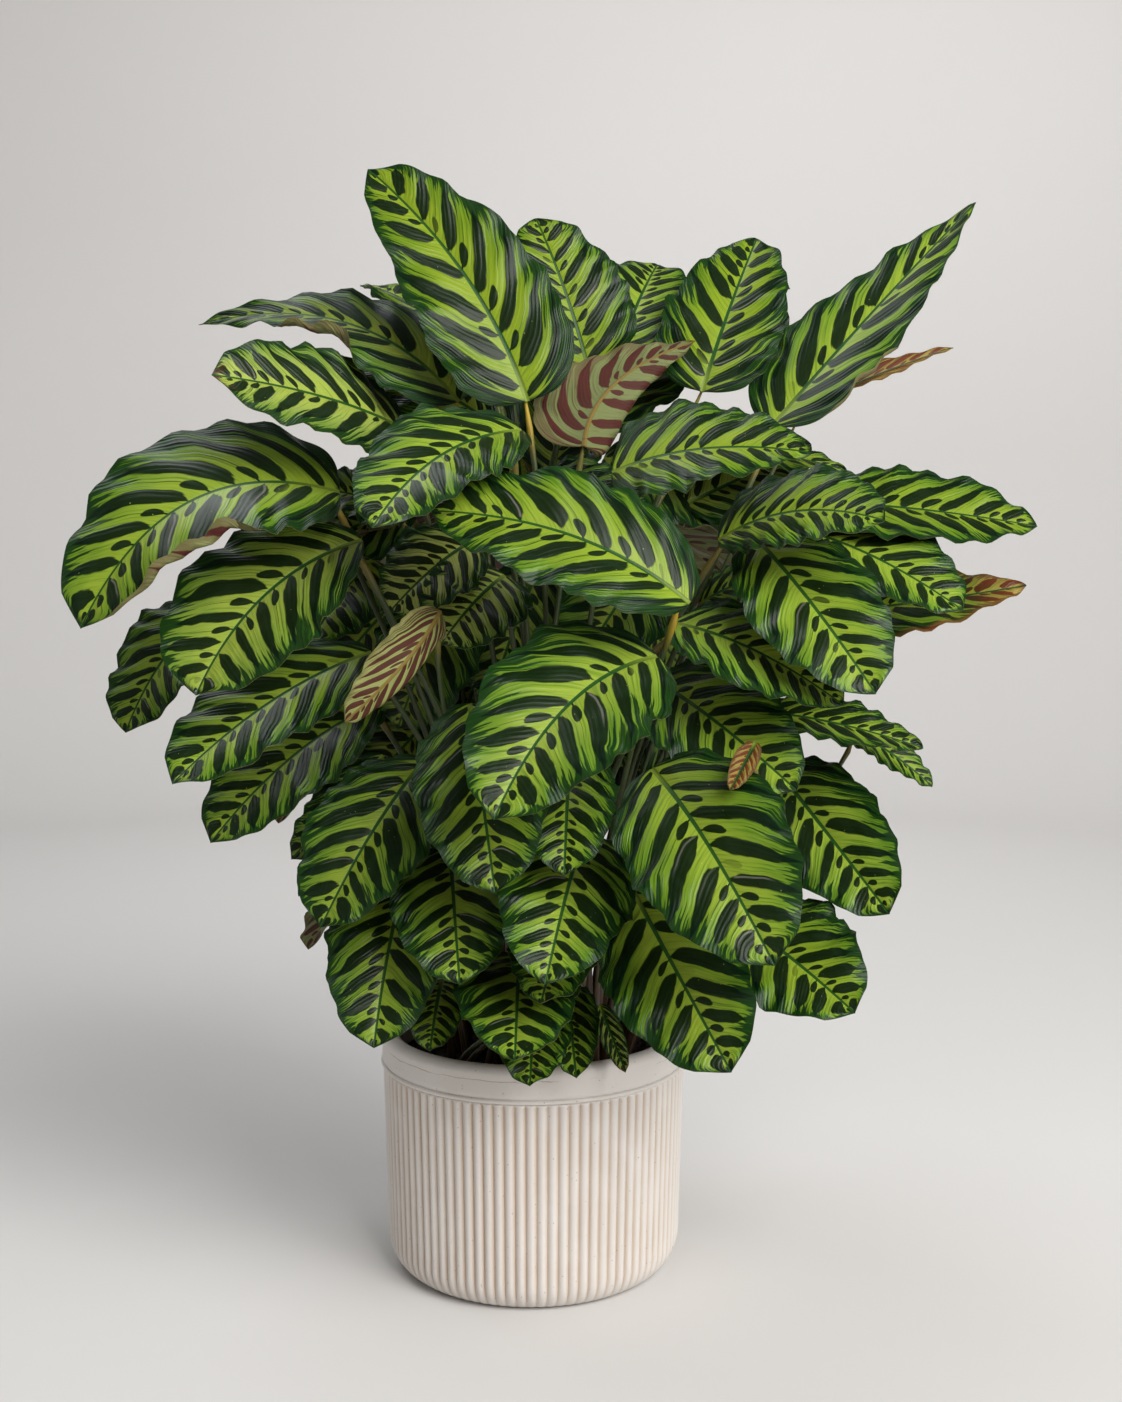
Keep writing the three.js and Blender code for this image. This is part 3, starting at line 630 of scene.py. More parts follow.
def curl(one, u, v, offset, raised):
    """One edge rolled up over the blade: beyond a share of its half-width, the surface follows a
    small circle to CURL_TURN and goes on straight. Returns how far it has turned as well."""
    if not one.curl:
        return offset, raised, 0 * offset
    hand, share, start, end = one.curl
    strength = smooth(start, start + CURL_GROWTH, u) * (1 - smooth(end - CURL_FADE, end, u))
    limit = 1 - share * strength
    past = np.clip(np.abs(v) - limit, 0, None) * (np.sign(v) == hand)
    past = past / np.maximum(np.abs(v), 0.01) * np.abs(offset)
    turn = np.minimum(past / CURL_RADIUS, CURL_TURN)
    on = past - turn * CURL_RADIUS
    inner = np.abs(offset) - past
    outward = inner + CURL_RADIUS * np.sin(turn) + on * math.cos(CURL_TURN)
    raised = raised + CURL_RADIUS * (1 - np.cos(turn)) + on * math.sin(CURL_TURN)
    return np.sign(v) * outward, raised, turn


def blade_shell(one, upper, lower, u, v, offset):
    """Upper and lower grids, whose squares fold along the same diagonal, joined round the rim."""
    rows, columns = offset.shape
    count = rows * columns
    top = quad_grid(rows, columns)
    bottom = quad_grid(rows, columns, start=count)[:, (0, 3, 2, 1)]
    number = np.arange(count).reshape(rows, columns)
    edge = np.concatenate((number[0, :-1], number[:-1, -1], number[-1, :0:-1], number[:0:-1, 0]))
    onward = np.roll(edge, -1)
    rim = np.stack((edge, edge + count, onward + count, onward), axis=-1)
    faces = np.concatenate((top, bottom, rim))
    kinds = np.repeat((UPPER, UNDER, UNDER), (len(top), len(bottom), len(rim)))

    def both(values):
        return np.tile(np.broadcast_to(values, offset.shape).ravel(), 2)

    points = np.concatenate((upper.reshape(-1, 3), lower.reshape(-1, 3)))
    facts = dict(along=both(u), across=both(0.5 + 0.5 * v), from_midrib=both(offset / MM))
    return shell(points, faces, kinds, **facts, **habit(one, 2 * count))


def habit(one, count):
    """The leaf's own seed and tones, the same at each of its points."""
    return {name: np.full(count, value) for name, value in (("seed", one.seed), *one.tones.items())}


def stalk(one, settings):
    """The stalk: a round section carried along a cubic curve from its hole to the blade's base. It
    is wide where it sheathes the next one, thin above, and swells just below the blade."""
    controls, face = spine_of(one)
    _, ahead = bezier(controls, [0.0])
    ahead = ahead[0]
    right = unit(np.cross(ahead, face))
    face = np.cross(right, ahead)
    foot = np.array((*one.hole, SOIL_TOP - HOLE_DEPTH))
    reach = np.linalg.norm(one.base - foot)
    inward = -one.base * (1, 1, 0)
    inward = inward / max(np.linalg.norm(inward), MM)
    rise = foot + one.sway + (0, 0, STALK_RISE * reach)
    arrive = one.base + one.sway + STALK_INWARD * reach * inward - (0, 0, STALK_DROP * reach)
    end = one.base + STALK_SUNK * ahead - STALK_UNDER * face

    t = np.linspace(0, 1, STALK_RINGS)
    t = t + STALK_CROWD * np.sin(2 * math.pi * t) / (2 * math.pi) * (t > 0.5)
    middle, onward = bezier((foot, rise, arrive, end), t)
    gone = np.concatenate(([0], np.cumsum(np.linalg.norm(np.diff(middle, axis=0), axis=1))))
    left = gone[-1] - gone
    swelling = SWELLING_GROWTH * np.exp(-((left - SWELLING_BELOW) / SWELLING_REACH) ** 2)
    sheath = SHEATH_GROWTH * (1 - smooth(0, SHEATH_SHARE, t))
    ending = END_SHARE + (1 - END_SHARE) * smooth(0, END_LENGTH, left)
    radius = settings.stalk_radius * min(1, STALK_LEAST + one.wide / STALK_FULL_WIDTH)
    radius = radius * (STALK_PLAIN + swelling + sheath) * ending

    first = unit(right - onward * (onward @ right)[:, None])
    second = np.cross(onward, first)
    angle = np.linspace(0, 2 * math.pi, STALK_SIDES, endpoint=False)
    hollow = 1 - STALK_HOLLOW * np.cos(angle) * (1 - t[:, None])
    around = first[:, None] * np.cos(angle)[:, None] + second[:, None] * np.sin(angle)[:, None]
    rings = middle[:, None] + (radius[:, None] * hollow)[..., None] * around
    made = tube(rings, STALK, along=t[:, None], across=angle / (2 * math.pi), from_midrib=0.0)
    made.facts.update(habit(one, len(made.points)))
    return made


# ---------------------------------------------------------------- pot and soil

# The pot's profile: radii, heights, roundings as how far they reach out and up, and how many
# points each part has.
POT_HEIGHT = 170 * MM
LIP_RADIUS = 110 * MM
MOUTH_RADIUS = 98.5 * MM
BAND_BOTTOM = 145 * MM
RIB_TOP_RADIUS = 109 * MM
RIB_FOOT_RADIUS = 105 * MM
RIBS = 92
RIB_COLUMNS = 8
FOOT_ROUND_OUT = 17 * MM
FOOT_ROUND_UP = 22 * MM
FOOT_POINTS = 12
UNDER_FOOT = 2 * MM
WALL_ROWS = 34
RIB_END_DROP = 2.5 * MM
RIB_END_ROUND = (1.8 * MM, 2.3 * MM)
RIB_END_SHARES = (0.75, 0.5, 0.25, 0.1)
RIB_VARIATION = 0.08
BEAD_ROUND = (1.8 * MM, 1.7 * MM)
BEAD_SET_IN = 0.2 * MM
BEAD_POINTS = 9
BAND_START = BAND_BOTTOM + 4.2 * MM
BAND_END = POT_HEIGHT - 9 * MM
BAND_SET_IN = 0.35 * MM
BAND_POINTS = 6
LIP_ROUND = (5.9 * MM, 6 * MM)
LIP_CENTRE = 5.6 * MM
LIP_POINTS = 17
INSIDE_TOP = (MOUTH_RADIUS - 0.3 * MM, POT_HEIGHT - 20 * MM)
INNER_CORNER = (95 * MM, 21 * MM)
INNER_FOOT_RADIUS = 88 * MM
POT_FLOOR = 9 * MM
CENTRE_HOLE = 0.5 * MM
POT_SEED = 5

# The soil: its top is level and drops a little at the edge, where its waves also end.
SOIL_COLUMNS = 120
SOIL_ROWS = 44
CLEARANCE = 0.3 * MM
SOIL_EDGE_DROP = 3 * MM
SOIL_LEVEL_SHARE = 0.8
SOIL_STILL_EDGE = 6 * MM
SOIL_ROUGHNESS = 0.35
SOIL_WAVES = 60
LONGEST_WAVE = 60 * MM
SHORTEST_WAVE = 4 * MM
SOIL_SEED = 8
CRUMBS = 520
CRUMB_RINGS = 4
CRUMB_SIDES = 6
CRUMB_REACH = 92 * MM
CRUMB_EDGE = 98 * MM
CRUMB_RAISED = 0.2
CRUMB_SEED = 11


def pot_profile():
    """The pot's outline as rows of (radius, height), from under the middle, round the foot, up the
    ribbed wall, over the bead, band and lip, and down the inside to the floor. With it come the
    ribs' share of their depth at each point, and whether the point is outside."""
    slope = (RIB_TOP_RADIUS - RIB_FOOT_RADIUS) / BAND_BOTTOM
    foot_centre = RIB_FOOT_RADIUS + slope * FOOT_ROUND_UP - FOOT_ROUND_OUT
    wall_top = BAND_BOTTOM - RIB_END_DROP
    rise = np.linspace(FOOT_ROUND_UP, wall_top, WALL_ROWS)[1:]
    band_heights = np.linspace(BAND_START, BAND_END, BAND_POINTS)
    rib_end_centre = (RIB_TOP_RADIUS - RIB_END_ROUND[0], wall_top)
    bead_centre = (RIB_TOP_RADIUS - BEAD_SET_IN, BAND_BOTTOM + BEAD_ROUND[1])
    lip_centre = (MOUTH_RADIUS + LIP_CENTRE, POT_HEIGHT - LIP_ROUND[1])
    foot_round = (FOOT_ROUND_OUT, FOOT_ROUND_UP)
    inside = (INSIDE_TOP, INNER_CORNER, (INNER_FOOT_RADIUS, POT_FLOOR), (CENTRE_HOLE, POT_FLOOR))
    parts = (
        (((CENTRE_HOLE, 0), (foot_centre - UNDER_FOOT, 0)), 0),
        (
            arc((foot_centre, FOOT_ROUND_UP), foot_round, -90, 0, FOOT_POINTS),
            np.linspace(0.2, 1, FOOT_POINTS),
        ),
        (np.stack((RIB_FOOT_RADIUS + slope * rise, rise), -1), 1),
        (arc(rib_end_centre, RIB_END_ROUND, 15, 80, len(RIB_END_SHARES)), RIB_END_SHARES),
        (arc(bead_centre, BEAD_ROUND, -80, 80, BEAD_POINTS), 0),
        (np.stack((np.full(BAND_POINTS, LIP_RADIUS - BAND_SET_IN), band_heights), -1), 0),
        (arc(lip_centre, LIP_ROUND, 0, 180, LIP_POINTS), 0),
        (inside, 0),
    )
    profile = np.concatenate([part for part, _ in parts])
    ribbed = np.concatenate([np.broadcast_to(share, len(part)) for part, share in parts])
    return profile, ribbed, np.arange(len(profile)) < len(profile) - len(inside)


def pot_shell(settings):
    """The profile turned about the axis, with each rib's groove cut by 1 - cos across half a rib,
    so that crests are round and grooves narrow. Each rib differs a little, as thrown clay does."""
    profile, ribbed, outside = pot_profile()
    columns = RIBS * RIB_COLUMNS
    place = np.arange(columns) / RIB_COLUMNS
    off_crest = np.abs(place - np.round(place))
    groove = 1 - np.cos(math.pi * off_crest)
    random = np.random.default_rng(POT_SEED)
    own = 1 + RIB_VARIATION * random.standard_normal(RIBS)[(np.round(place) % RIBS).astype(int)]
    inset = settings.rib_depth * ribbed[:, None] * groove * own
    rings = revolve(profile[:, :1] - inset, profile[:, 1], columns)
    turn = np.arange(columns) * 2 * math.pi / columns
    wobble = 0.25 * MM * np.sin(2 * turn + 0.6) + 0.15 * MM * np.sin(5 * turn)
    rings[..., :2] *= (1 + wobble[None, :] / LIP_RADIUS * outside[:, None])[..., None]
    return tube(rings, groove=ribbed[:, None] * groove)


def rolling(x, y, random, waves):
    """A smooth random height: a sum of cosines of seeded directions, lengths and phases."""
    angle, phase = random.uniform(0, 2 * math.pi, (2, waves))
    number = 2 * math.pi / np.geomspace(LONGEST_WAVE, SHORTEST_WAVE, waves)
    total = sum(
        np.cos(n * (x * math.cos(a) + y * math.sin(a)) + p) * (n / number[0]) ** -0.8
        for n, a, p in zip(number, angle, phase)
    )
    return total / math.sqrt(waves)


def soil_level(radius, edge):
    """The soil's height before its crumbs: level, and lower by a smooth step towards its edge."""
    return SOIL_TOP - SOIL_EDGE_DROP * smooth(SOIL_LEVEL_SHARE * edge, edge, radius)


def soil_shell(settings):
    """The soil fills the pot as one turned body, and its top is a rolling field of crumbs."""
    corner_radius, corner_height = INNER_CORNER
    share = SOIL_TOP - SOIL_EDGE_DROP - corner_height
    share = share / (POT_HEIGHT - LIP_ROUND[1] - corner_height)
    edge = corner_radius + (MOUTH_RADIUS - corner_radius) * share - CLEARANCE
    top_radii = np.linspace(edge, CENTRE_HOLE, SOIL_ROWS)
    sunk = np.array((
        (CENTRE_HOLE, POT_FLOOR + CLEARANCE),
        (INNER_FOOT_RADIUS - CLEARANCE, POT_FLOOR + CLEARANCE),
        (corner_radius - CLEARANCE, corner_height),
    ))
    radii = np.concatenate((sunk[:, 0], top_radii))
    heights = np.concatenate((sunk[:, 1], soil_level(top_radii, edge)))
    rings = revolve(radii, heights, SOIL_COLUMNS)
    random = np.random.default_rng(SOIL_SEED)
    height = rolling(*np.moveaxis(rings[..., :2], -1, 0), random, SOIL_WAVES)
    on_top = (np.arange(len(radii)) >= len(sunk)) * smooth(edge, edge - SOIL_STILL_EDGE, radii)
    rings[..., 2] += settings.crumb_size * SOIL_ROUGHNESS * height * on_top[:, None]
    return tube(rings)


def crumb_shells(settings):
    """Crumbs and bits of bark: small rings of random size, turned and pressed into the soil."""
    random = np.random.default_rng(CRUMB_SEED)
    t = np.linspace(-0.85, 0.85, CRUMB_RINGS)
    angle = np.linspace(0, 2 * math.pi, CRUMB_SIDES, endpoint=False)
    for _ in range(CRUMBS):
        rough = 1 + 0.25 * random.standard_normal((CRUMB_RINGS, CRUMB_SIDES))
        ring = np.sqrt(1 - t ** 2)[:, None] * rough
        form = np.stack((ring * np.cos(angle), ring * np.sin(angle), t[:, None] + 0 * ring), -1)
        form = form * random.uniform(0.35, 1, 3) * settings.crumb_size * random.uniform(0.5, 1.3)
        turned, _ = np.linalg.qr(random.standard_normal((3, 3)))
        radius = CRUMB_REACH * math.sqrt(random.random())
        turn = random.uniform(0, 2 * math.pi)
        height = soil_level(radius, CRUMB_EDGE) + CRUMB_RAISED * settings.crumb_size
        yield tube(form @ turned + (radius * math.cos(turn), radius * math.sin(turn), height))


# ---------------------------------------------------------------- shader arithmetic


class Wire:
    """A shader node's output that can be added, multiplied and raised to a power like a number."""

    def __init__(self, tree, socket):
        self.tree = tree
        self.socket = socket

    def math(self, operation, *others, turned=False):
        node = self.tree.nodes.new("ShaderNodeMath")
        node.operation = operation
        values = (*others, self) if turned else (self, *others)
        for place, value in zip(node.inputs, values):
            feed(self.tree, place, value)
        return Wire(self.tree, node.outputs[0])

    def __add__(self, other):
        return self.math("ADD", other)

    def __sub__(self, other):
        return self.math("SUBTRACT", other)

    def __rsub__(self, other):
        return self.math("SUBTRACT", other, turned=True)

    def __mul__(self, other):
        return self.math("MULTIPLY", other)

    def __truediv__(self, other):
        return self.math("DIVIDE", other)

    def __pow__(self, other):
        return self.math("POWER", other)

    def __abs__(self):
        return self.math("ABSOLUTE")

    __radd__ = __add__
    __rmul__ = __mul__


def feed(tree, place, value):
    """A wire is linked to the input, and anything else is its value."""
    if isinstance(value, Wire):
        tree.links.new(value.socket, place)
    else:
        place.default_value = value


def ramp(value, low, high):
    """0 at low and 1 at high with a smooth step between, or the other way round if low is more."""
    node = value.tree.nodes.new("ShaderNodeMapRange")
    node.interpolation_type = "SMOOTHSTEP"
    for place, given in zip(node.inputs, (value, low, high, 0.0, 1.0)):
        feed(value.tree, place, given)
    return Wire(value.tree, node.outputs["Result"])


def vector(x, y, z=0.0):
    """Three wires or numbers as one vector wire."""
    node = x.tree.nodes.new("ShaderNodeCombineXYZ")
    for place, value in zip(node.inputs, (x, y, z)):
        feed(x.tree, place, value)
    return Wire(x.tree, node.outputs[0])


def strongest(mask, *others):
    """The largest of several masks at each point."""
    for other in others:
        mask = mask.math("MAXIMUM", other)
    return mask


def noise(where, scale, detail=2.0, rough=0.5):
    """Smooth noise about 0, from roughly -0.5 to 0.5."""
    node = where.tree.nodes.new("ShaderNodeTexNoise")
    feed(where.tree, node.inputs["Vector"], where)
    node.inputs["Scale"].default_value = scale
    node.inputs["Detail"].default_value = detail
    node.inputs["Roughness"].default_value = rough
    return Wire(where.tree, node.outputs["Fac"]) - 0.5


def chance(number):
    """A random value from 0 to 1 for each whole number."""
    node = number.tree.nodes.new("ShaderNodeTexWhiteNoise")
    node.noise_dimensions = "1D"
    feed(number.tree, node.inputs["W"], number)
    return Wire(number.tree, node.outputs["Value"])


def specks(where, scale):
    """Distance to the nearest of scattered points, and a random value for each of them."""
    node = where.tree.nodes.new("ShaderNodeTexVoronoi")
    feed(where.tree, node.inputs["Vector"], where)
    node.inputs["Scale"].default_value = scale
    split = where.tree.nodes.new("ShaderNodeSeparateColor")
    where.tree.links.new(node.outputs["Color"], split.inputs[0])
    return Wire(where.tree, node.outputs["Distance"]), Wire(where.tree, split.outputs[0])


def attribute(tree, name):
    """The value of a named fact of the mesh's points."""
    node = tree.nodes.new("ShaderNodeAttribute")
    node.attribute_name = name
    return Wire(tree, node.outputs["Fac"])


def leaf_coordinates(tree):
    """Along the blade from 0 to 1, and across it from 0 to 1, from the piece's UV map."""
    uv = tree.nodes.new("ShaderNodeUVMap")
    uv.uv_map = "leaf"
    split = tree.nodes.new("ShaderNodeSeparateXYZ")
    tree.links.new(uv.outputs[0], split.inputs[0])
    return Wire(tree, split.outputs[0]), Wire(tree, split.outputs[1])


def object_coordinates(tree):
    """The place in the piece, as one vector wire and as its height."""
    node = tree.nodes.new("ShaderNodeTexCoord")
    split = tree.nodes.new("ShaderNodeSeparateXYZ")
    tree.links.new(node.outputs["Object"], split.inputs[0])
    return Wire(tree, node.outputs["Object"]), Wire(tree, split.outputs[2])


def paint(tree, layers):
    """Colours laid over each other: the first is the ground, and each later one has a mask."""
    colour = layers[0]
    for mask, over in layers[1:]:
        node = tree.nodes.new("ShaderNodeMix")
        node.data_type = "RGBA"
        feed(tree, node.inputs["Factor"], mask)
        feed(tree, node.inputs[6], colour)
        feed(tree, node.inputs[7], over)
        colour = Wire(tree, node.outputs[2])
    return colour


def new_group(name, inputs, outputs):
    """An empty node group, its inputs by name as wires, and the node that takes its outputs."""
    tree = bpy.data.node_groups.new(name, "ShaderNodeTree")
    for label in inputs:
        tree.interface.new_socket(label, in_out="INPUT", socket_type="NodeSocketFloat")
    for label in outputs:
        tree.interface.new_socket(label, in_out="OUTPUT", socket_type="NodeSocketFloat")
    given = tree.nodes.new("NodeGroupInput")
    result = tree.nodes.new("NodeGroupOutput")
    return tree, [Wire(tree, given.outputs[label]) for label in inputs], result


def use_group(tree, group, *values):
    """The group placed in a material, with its outputs by name."""
    node = tree.nodes.new("ShaderNodeGroup")
    node.node_tree = group
    for place, value in zip(node.inputs, values):
        feed(tree, place, value)
    return {place.name: Wire(tree, place) for place in node.outputs}


def new_material(name, **sockets):
    """A material with its Principled shader's constant sockets set."""
    material = bpy.data.materials.new(name)
    material.use_nodes = True
    tree = material.node_tree
    shader = next(node for node in tree.nodes if node.type == "BSDF_PRINCIPLED")
    for socket, value in sockets.items():
        shader.inputs[socket.replace("_", " ")].default_value = value
    return material, tree, shader


def bump(tree, shader, height, distance, strength=1.0):
    """The height in the shader's normal, distance metres at height 1."""
    node = tree.nodes.new("ShaderNodeBump")
    node.inputs["Distance"].default_value = distance
    node.inputs["Strength"].default_value = strength
    feed(tree, node.inputs["Height"], height)
    tree.links.new(node.outputs[0], shader.inputs["Normal"])


# ---------------------------------------------------------------- leaf colours


SEED_LOTS = 31


def vein_phase(along, away, slant):
    """vein_place and vein_count worked out by the shader."""
    base_fan = ramp(along, 0.0, 0.35) * (1 - BASE_FAN) + BASE_FAN
    fan = base_fan * (1 - ramp(along, 0.6, 1.0) * TIP_LOSS)
    place = along - slant * (away * VEIN_LEAN + away ** 2.0 * VEIN_BOW) * fan
    growth = 1 - (place.math("MAXIMUM", LEAST_PLACE) / -BASE_CROWD).math("EXPONENT")
    count = place * EVEN_BANDS + growth * BASE_BANDS + place ** 4.0 * TIP_BANDS - FIRST_BAND
    return place, count


def spindles(spot):
    """Dark spindles on whole phases. Each one's half-width rises from the midrib and falls towards
    the margin, and its edge is uneven. Returns the half-width and the mask."""
    start = spot.other * 0.1 - 0.06
    rise = ramp(spot.away, start, start + 0.26) ** 0.55
    end = spot.own * 0.3 + 0.95 - ramp(spot.along, 0.62, 0.98) * 0.2
    fall = 1 - ramp(spot.away, 0.5, end)
    broad = chance(spot.lot_of_leaf + 0.1) * 0.07 + 0.2
    width = (spot.other * 0.12 + broad) * rise * fall - 0.02
    uneven = abs(spot.off) + spot.sliver * 0.12 + spot.bulge * 0.13
    return width, ramp(uneven, width + 0.026, width - 0.026)


def ovals(spot):
    """Small ovals beside the midrib, midway between the spindles, each on a thin stem, and for
    some a fine line that goes on from the oval along the vein."""
    gap = 0.5 - abs(spot.off)
    length = spot.gap_own * 0.04 + 0.085
    deep = (spot.away - length - 0.045) / length
    wide = (spot.gap_own * 0.06 + 0.1) * (deep * 0.22 + 1)
    round_off = deep ** 2.0 + (gap / wide) ** 2.0
    present = ramp(spot.place, 0.1, 0.18) * ramp(spot.gap_own, 0.2, 0.24)
    oval = ramp(round_off + spot.bulge * 0.8 + spot.sliver * 0.5, 1.14, 0.88) * present
    stem = ramp(gap, 0.035, 0.02) * ramp(spot.away, 0.14, 0.1) * present
    line = ramp(gap + spot.sliver * 0.03, 0.025, 0.008)
    line = line * ramp(spot.away, 0.16, 0.2) * ramp(spot.away, 0.75, 0.4)
    return strongest(oval, stem, line * present * ramp(spot.other, 0.3, 0.5) * 0.8)


def flames(spot):
    """Flames: noise drawn out along the veins that passes a level, which falls towards the margin.
    To them come a wedge on each spindle's outer end, the margin itself, and base and tip."""
    along, away, seed = spot.along, spot.away, spot.seed
    streaky = noise(vector(spot.phase * 4.6, away * 0.9, seed * 1.9), 1.0, detail=1.0)
    thready = noise(vector(spot.phase * 11.0, away * 1.1, seed * 4.3), 1.0, detail=2.0)
    thready = thready * ramp(along, -0.05, 0.3)
    level = 0.36 - ramp(away, 0.15, 1.0) * 0.42 - ramp(along, 0.3, 0.0) * away * 0.3
    flame = ramp(streaky * 0.7 + thready * 0.95, level - 0.03, level + 0.03)
    root = ramp(away, spot.other * 0.2 + 0.5, 1.0) * 0.36
    wedge = ramp(abs(spot.off) + spot.sliver * 0.16, root, root - 0.08)
    edge = away + noise(spot.where, 9.0) * 0.05 + spot.sliver * 0.06
    margin = ramp(edge, 0.9, 0.96)
    return strongest(flame, wedge, margin, ramp(along, 0.965, 0.99), ramp(along, 0.02, 0.0))


def feather_group():
    """The peacock markings, shared by both faces. A side vein's phase is counted along the
    midrib. Dark spindles lie on whole phases, and small ovals beside the midrib between them. The
    margin is dark, and flames along the veins are denser towards it."""
    inputs = ("Along", "Across", "From midrib", "Seed", "Slant")
    outputs = ("Blotch", "Flame", "Midrib", "Painted glint", "Speck", "Vein", "Grain")
    tree, wires, result = new_group("Feather markings", inputs, outputs)
    along, across, from_midrib, seed, slant = wires
    v = across * 2 - 1
    away = abs(v)
    side = v.math("GREATER_THAN", 0.0)
    where = vector(along, v * 0.35, seed * 3.7)

    place, phase = vein_phase(along, away, slant)
    phase = phase + side * 0.42 + seed * 0.37 + noise(where, 4.0) * 0.28
    whole = phase.math("ROUND")
    off = phase - whole
    lot_of_leaf = (seed * SEED_LOTS).math("ROUND")
    lot = lot_of_leaf * 3 + side * 17
    bulge = vector(whole * 5.1 + off.math("SIGN") * 2.3, away * 3.4, seed)
    sliver = vector(phase * 12.0, away * 1.3, seed * 2.3)
    spot = SimpleNamespace(
        along=along, away=away, seed=seed, where=where, place=place, phase=phase, off=off,
        lot_of_leaf=lot_of_leaf,
        own=chance(whole + lot),
        other=chance(whole + lot + 0.5),
        gap_own=chance(phase.math("FLOOR") + lot + 0.25),
        sliver=noise(sliver, 1.0, detail=3.0, rough=0.6),
        bulge=noise(bulge, 1.0),
    )
    width, blotch = spindles(spot)
    blotch = strongest(blotch, ovals(spot))

    thick = (1 - along * 0.65) * 1.7
    midrib = ramp(abs(from_midrib), thick + 0.25, thick - 0.15)

    # Painted highlight: a thin grey glint painted along one edge of some spindles.
    painted_glint = ramp(abs(off + width * 0.6), 0.045, 0.015) * ramp(away, 0.05, 0.1)
    painted_glint = painted_glint * ramp(away, 0.6, 0.4) * ramp(spot.own, 0.92, 0.94)

    distance, pick = specks(vector(along * 2.4, v * 0.6, seed), 18.0)
    speck = ramp(distance, 0.1, 0.06) * ramp(pick, 0.8, 0.82) * ramp(away, 0.7, 0.6)
    pleat = (phase * (4 * math.pi)).math("COSINE") * 0.3
    pleat = pleat + (phase * (12 * math.pi)).math("COSINE") * 0.2
    vein = pleat * ramp(away, 0.02, 0.2) + 0.5
    grain = noise(vector(phase * 15.0, away * 1.5, seed * 5.1), 1.0, detail=3.0)

    masks = (blotch, flames(spot), midrib, painted_glint, speck, vein, grain)
    for mask, label in zip(masks, outputs):
        tree.links.new(mask.socket, result.inputs[label])
    return tree


def leaf_masks(tree, group):
    """The shared markings for this material's leaf, with its place and tones."""
    along, across = leaf_coordinates(tree)
    from_midrib = attribute(tree, "from_midrib")
    seed = attribute(tree, "seed")
    found = use_group(tree, group, along, across, from_midrib, seed, attribute(tree, "slant"))
    away = abs(across * 2 - 1)
    return along, away, from_midrib, seed, found


def dried(tree, along, away, seed):
    """Where a leaf has dried: its tip and edge, in uneven patches."""
    patch = noise(vector(along, away * 0.3, seed * 9.1), 5.0, detail=4.0)
    edge = (along ** 2.0 * 0.55).math("MAXIMUM", away ** 4.0 * 0.45) + patch * 0.35
    return ramp(edge + attribute(tree, "dry"), 0.72, 0.95)


def upper_material(colours, group):
    """The upper face: yellow-green ground with finer lines along the veins, near-black spindles,
    deep green flames and margin with painted reflection on them, painted grey glints in some
    spindles, and a satin waxy gloss. Where it has dried the ground is ochre."""
    material, tree, shader = new_material("leaf upper", Specular_IOR_Level=0.19, IOR=1.45)
    along, away, from_midrib, seed, mask = leaf_masks(tree, group)
    bright, pale = attribute(tree, "bright"), attribute(tree, "pale")
    where = vector(along, away, seed)
    dry = dried(tree, along, away, seed)
    cloud = noise(where, 3.0)
    lighter = ramp(mask["Grain"], 0.02, 0.2) * 0.45 + ramp(away + cloud * 0.5, 0.5, 0.0) * 0.4
    deeper = ramp(mask["Grain"], 0.0, -0.16) * (away * 0.5 + 0.35)
    ground = paint(tree, (
        colours.ground,
        (ramp(bright, 0.0, 1.0), colours.bright_ground),
        # painted shade: a dark olive ground where bright is below zero
        (ramp(bright, 0.0, -1.0), colours.shaded_ground),
        (pale, colours.pale_ground),
        (lighter * (1 - ramp(bright, 0.0, 1.0) * 0.7), colours.near_midrib),
        (ramp(away + cloud * 0.5, 0.25, 0.95) * 0.6, colours.deep_ground),
        (deeper, colours.deep_ground),
        (dry, colours.dried),
    ))
    # Painted reflection: paler grey-green patches laid over the dark spindles and flames, as reflected
    # light.
    painted_sheen_mask = ramp(noise(where, 5.0), -0.1, 0.3)
    dark = paint(tree, (colours.blotch, (painted_sheen_mask * 0.35, colours.painted_sheen), (dry * 0.9, colours.dried_blotch)))
    flame = paint(tree, (
        colours.margin,
        (ramp(mask["Grain"], 0.05, 0.25) * 0.5, colours.deep_ground),
        # painted reflection on the flames
        (painted_sheen_mask * 0.3, colours.painted_sheen),
        (dry * 0.9, colours.dried_edge),
    ))
    rib = paint(tree, (colours.midrib, (ramp(along, 0.22, 0.0) * 0.5, colours.near_midrib)))
    marked = paint(tree, (
        ground,
        (mask["Flame"] * 0.96, flame),
        (mask["Blotch"] * 0.97, dark),
        # painted grey highlights in some spindles
        (mask["Painted glint"] * 0.7, colours.painted_glint),
        (mask["Speck"] * 0.6, colours.pale_ground),
        (mask["Midrib"] * 0.95, rib),
    ))
    feed(tree, shader.inputs["Base Color"], marked)
    rough = 0.3 + noise(where, 20.0) * 0.1
    feed(tree, shader.inputs["Roughness"], rough)
    relief = mask["Vein"] * 0.9 + mask["Grain"] * 0.5 - mask["Midrib"] * 0.3
    bump(tree, shader, relief, 0.45 * MM, 0.8)
    return material


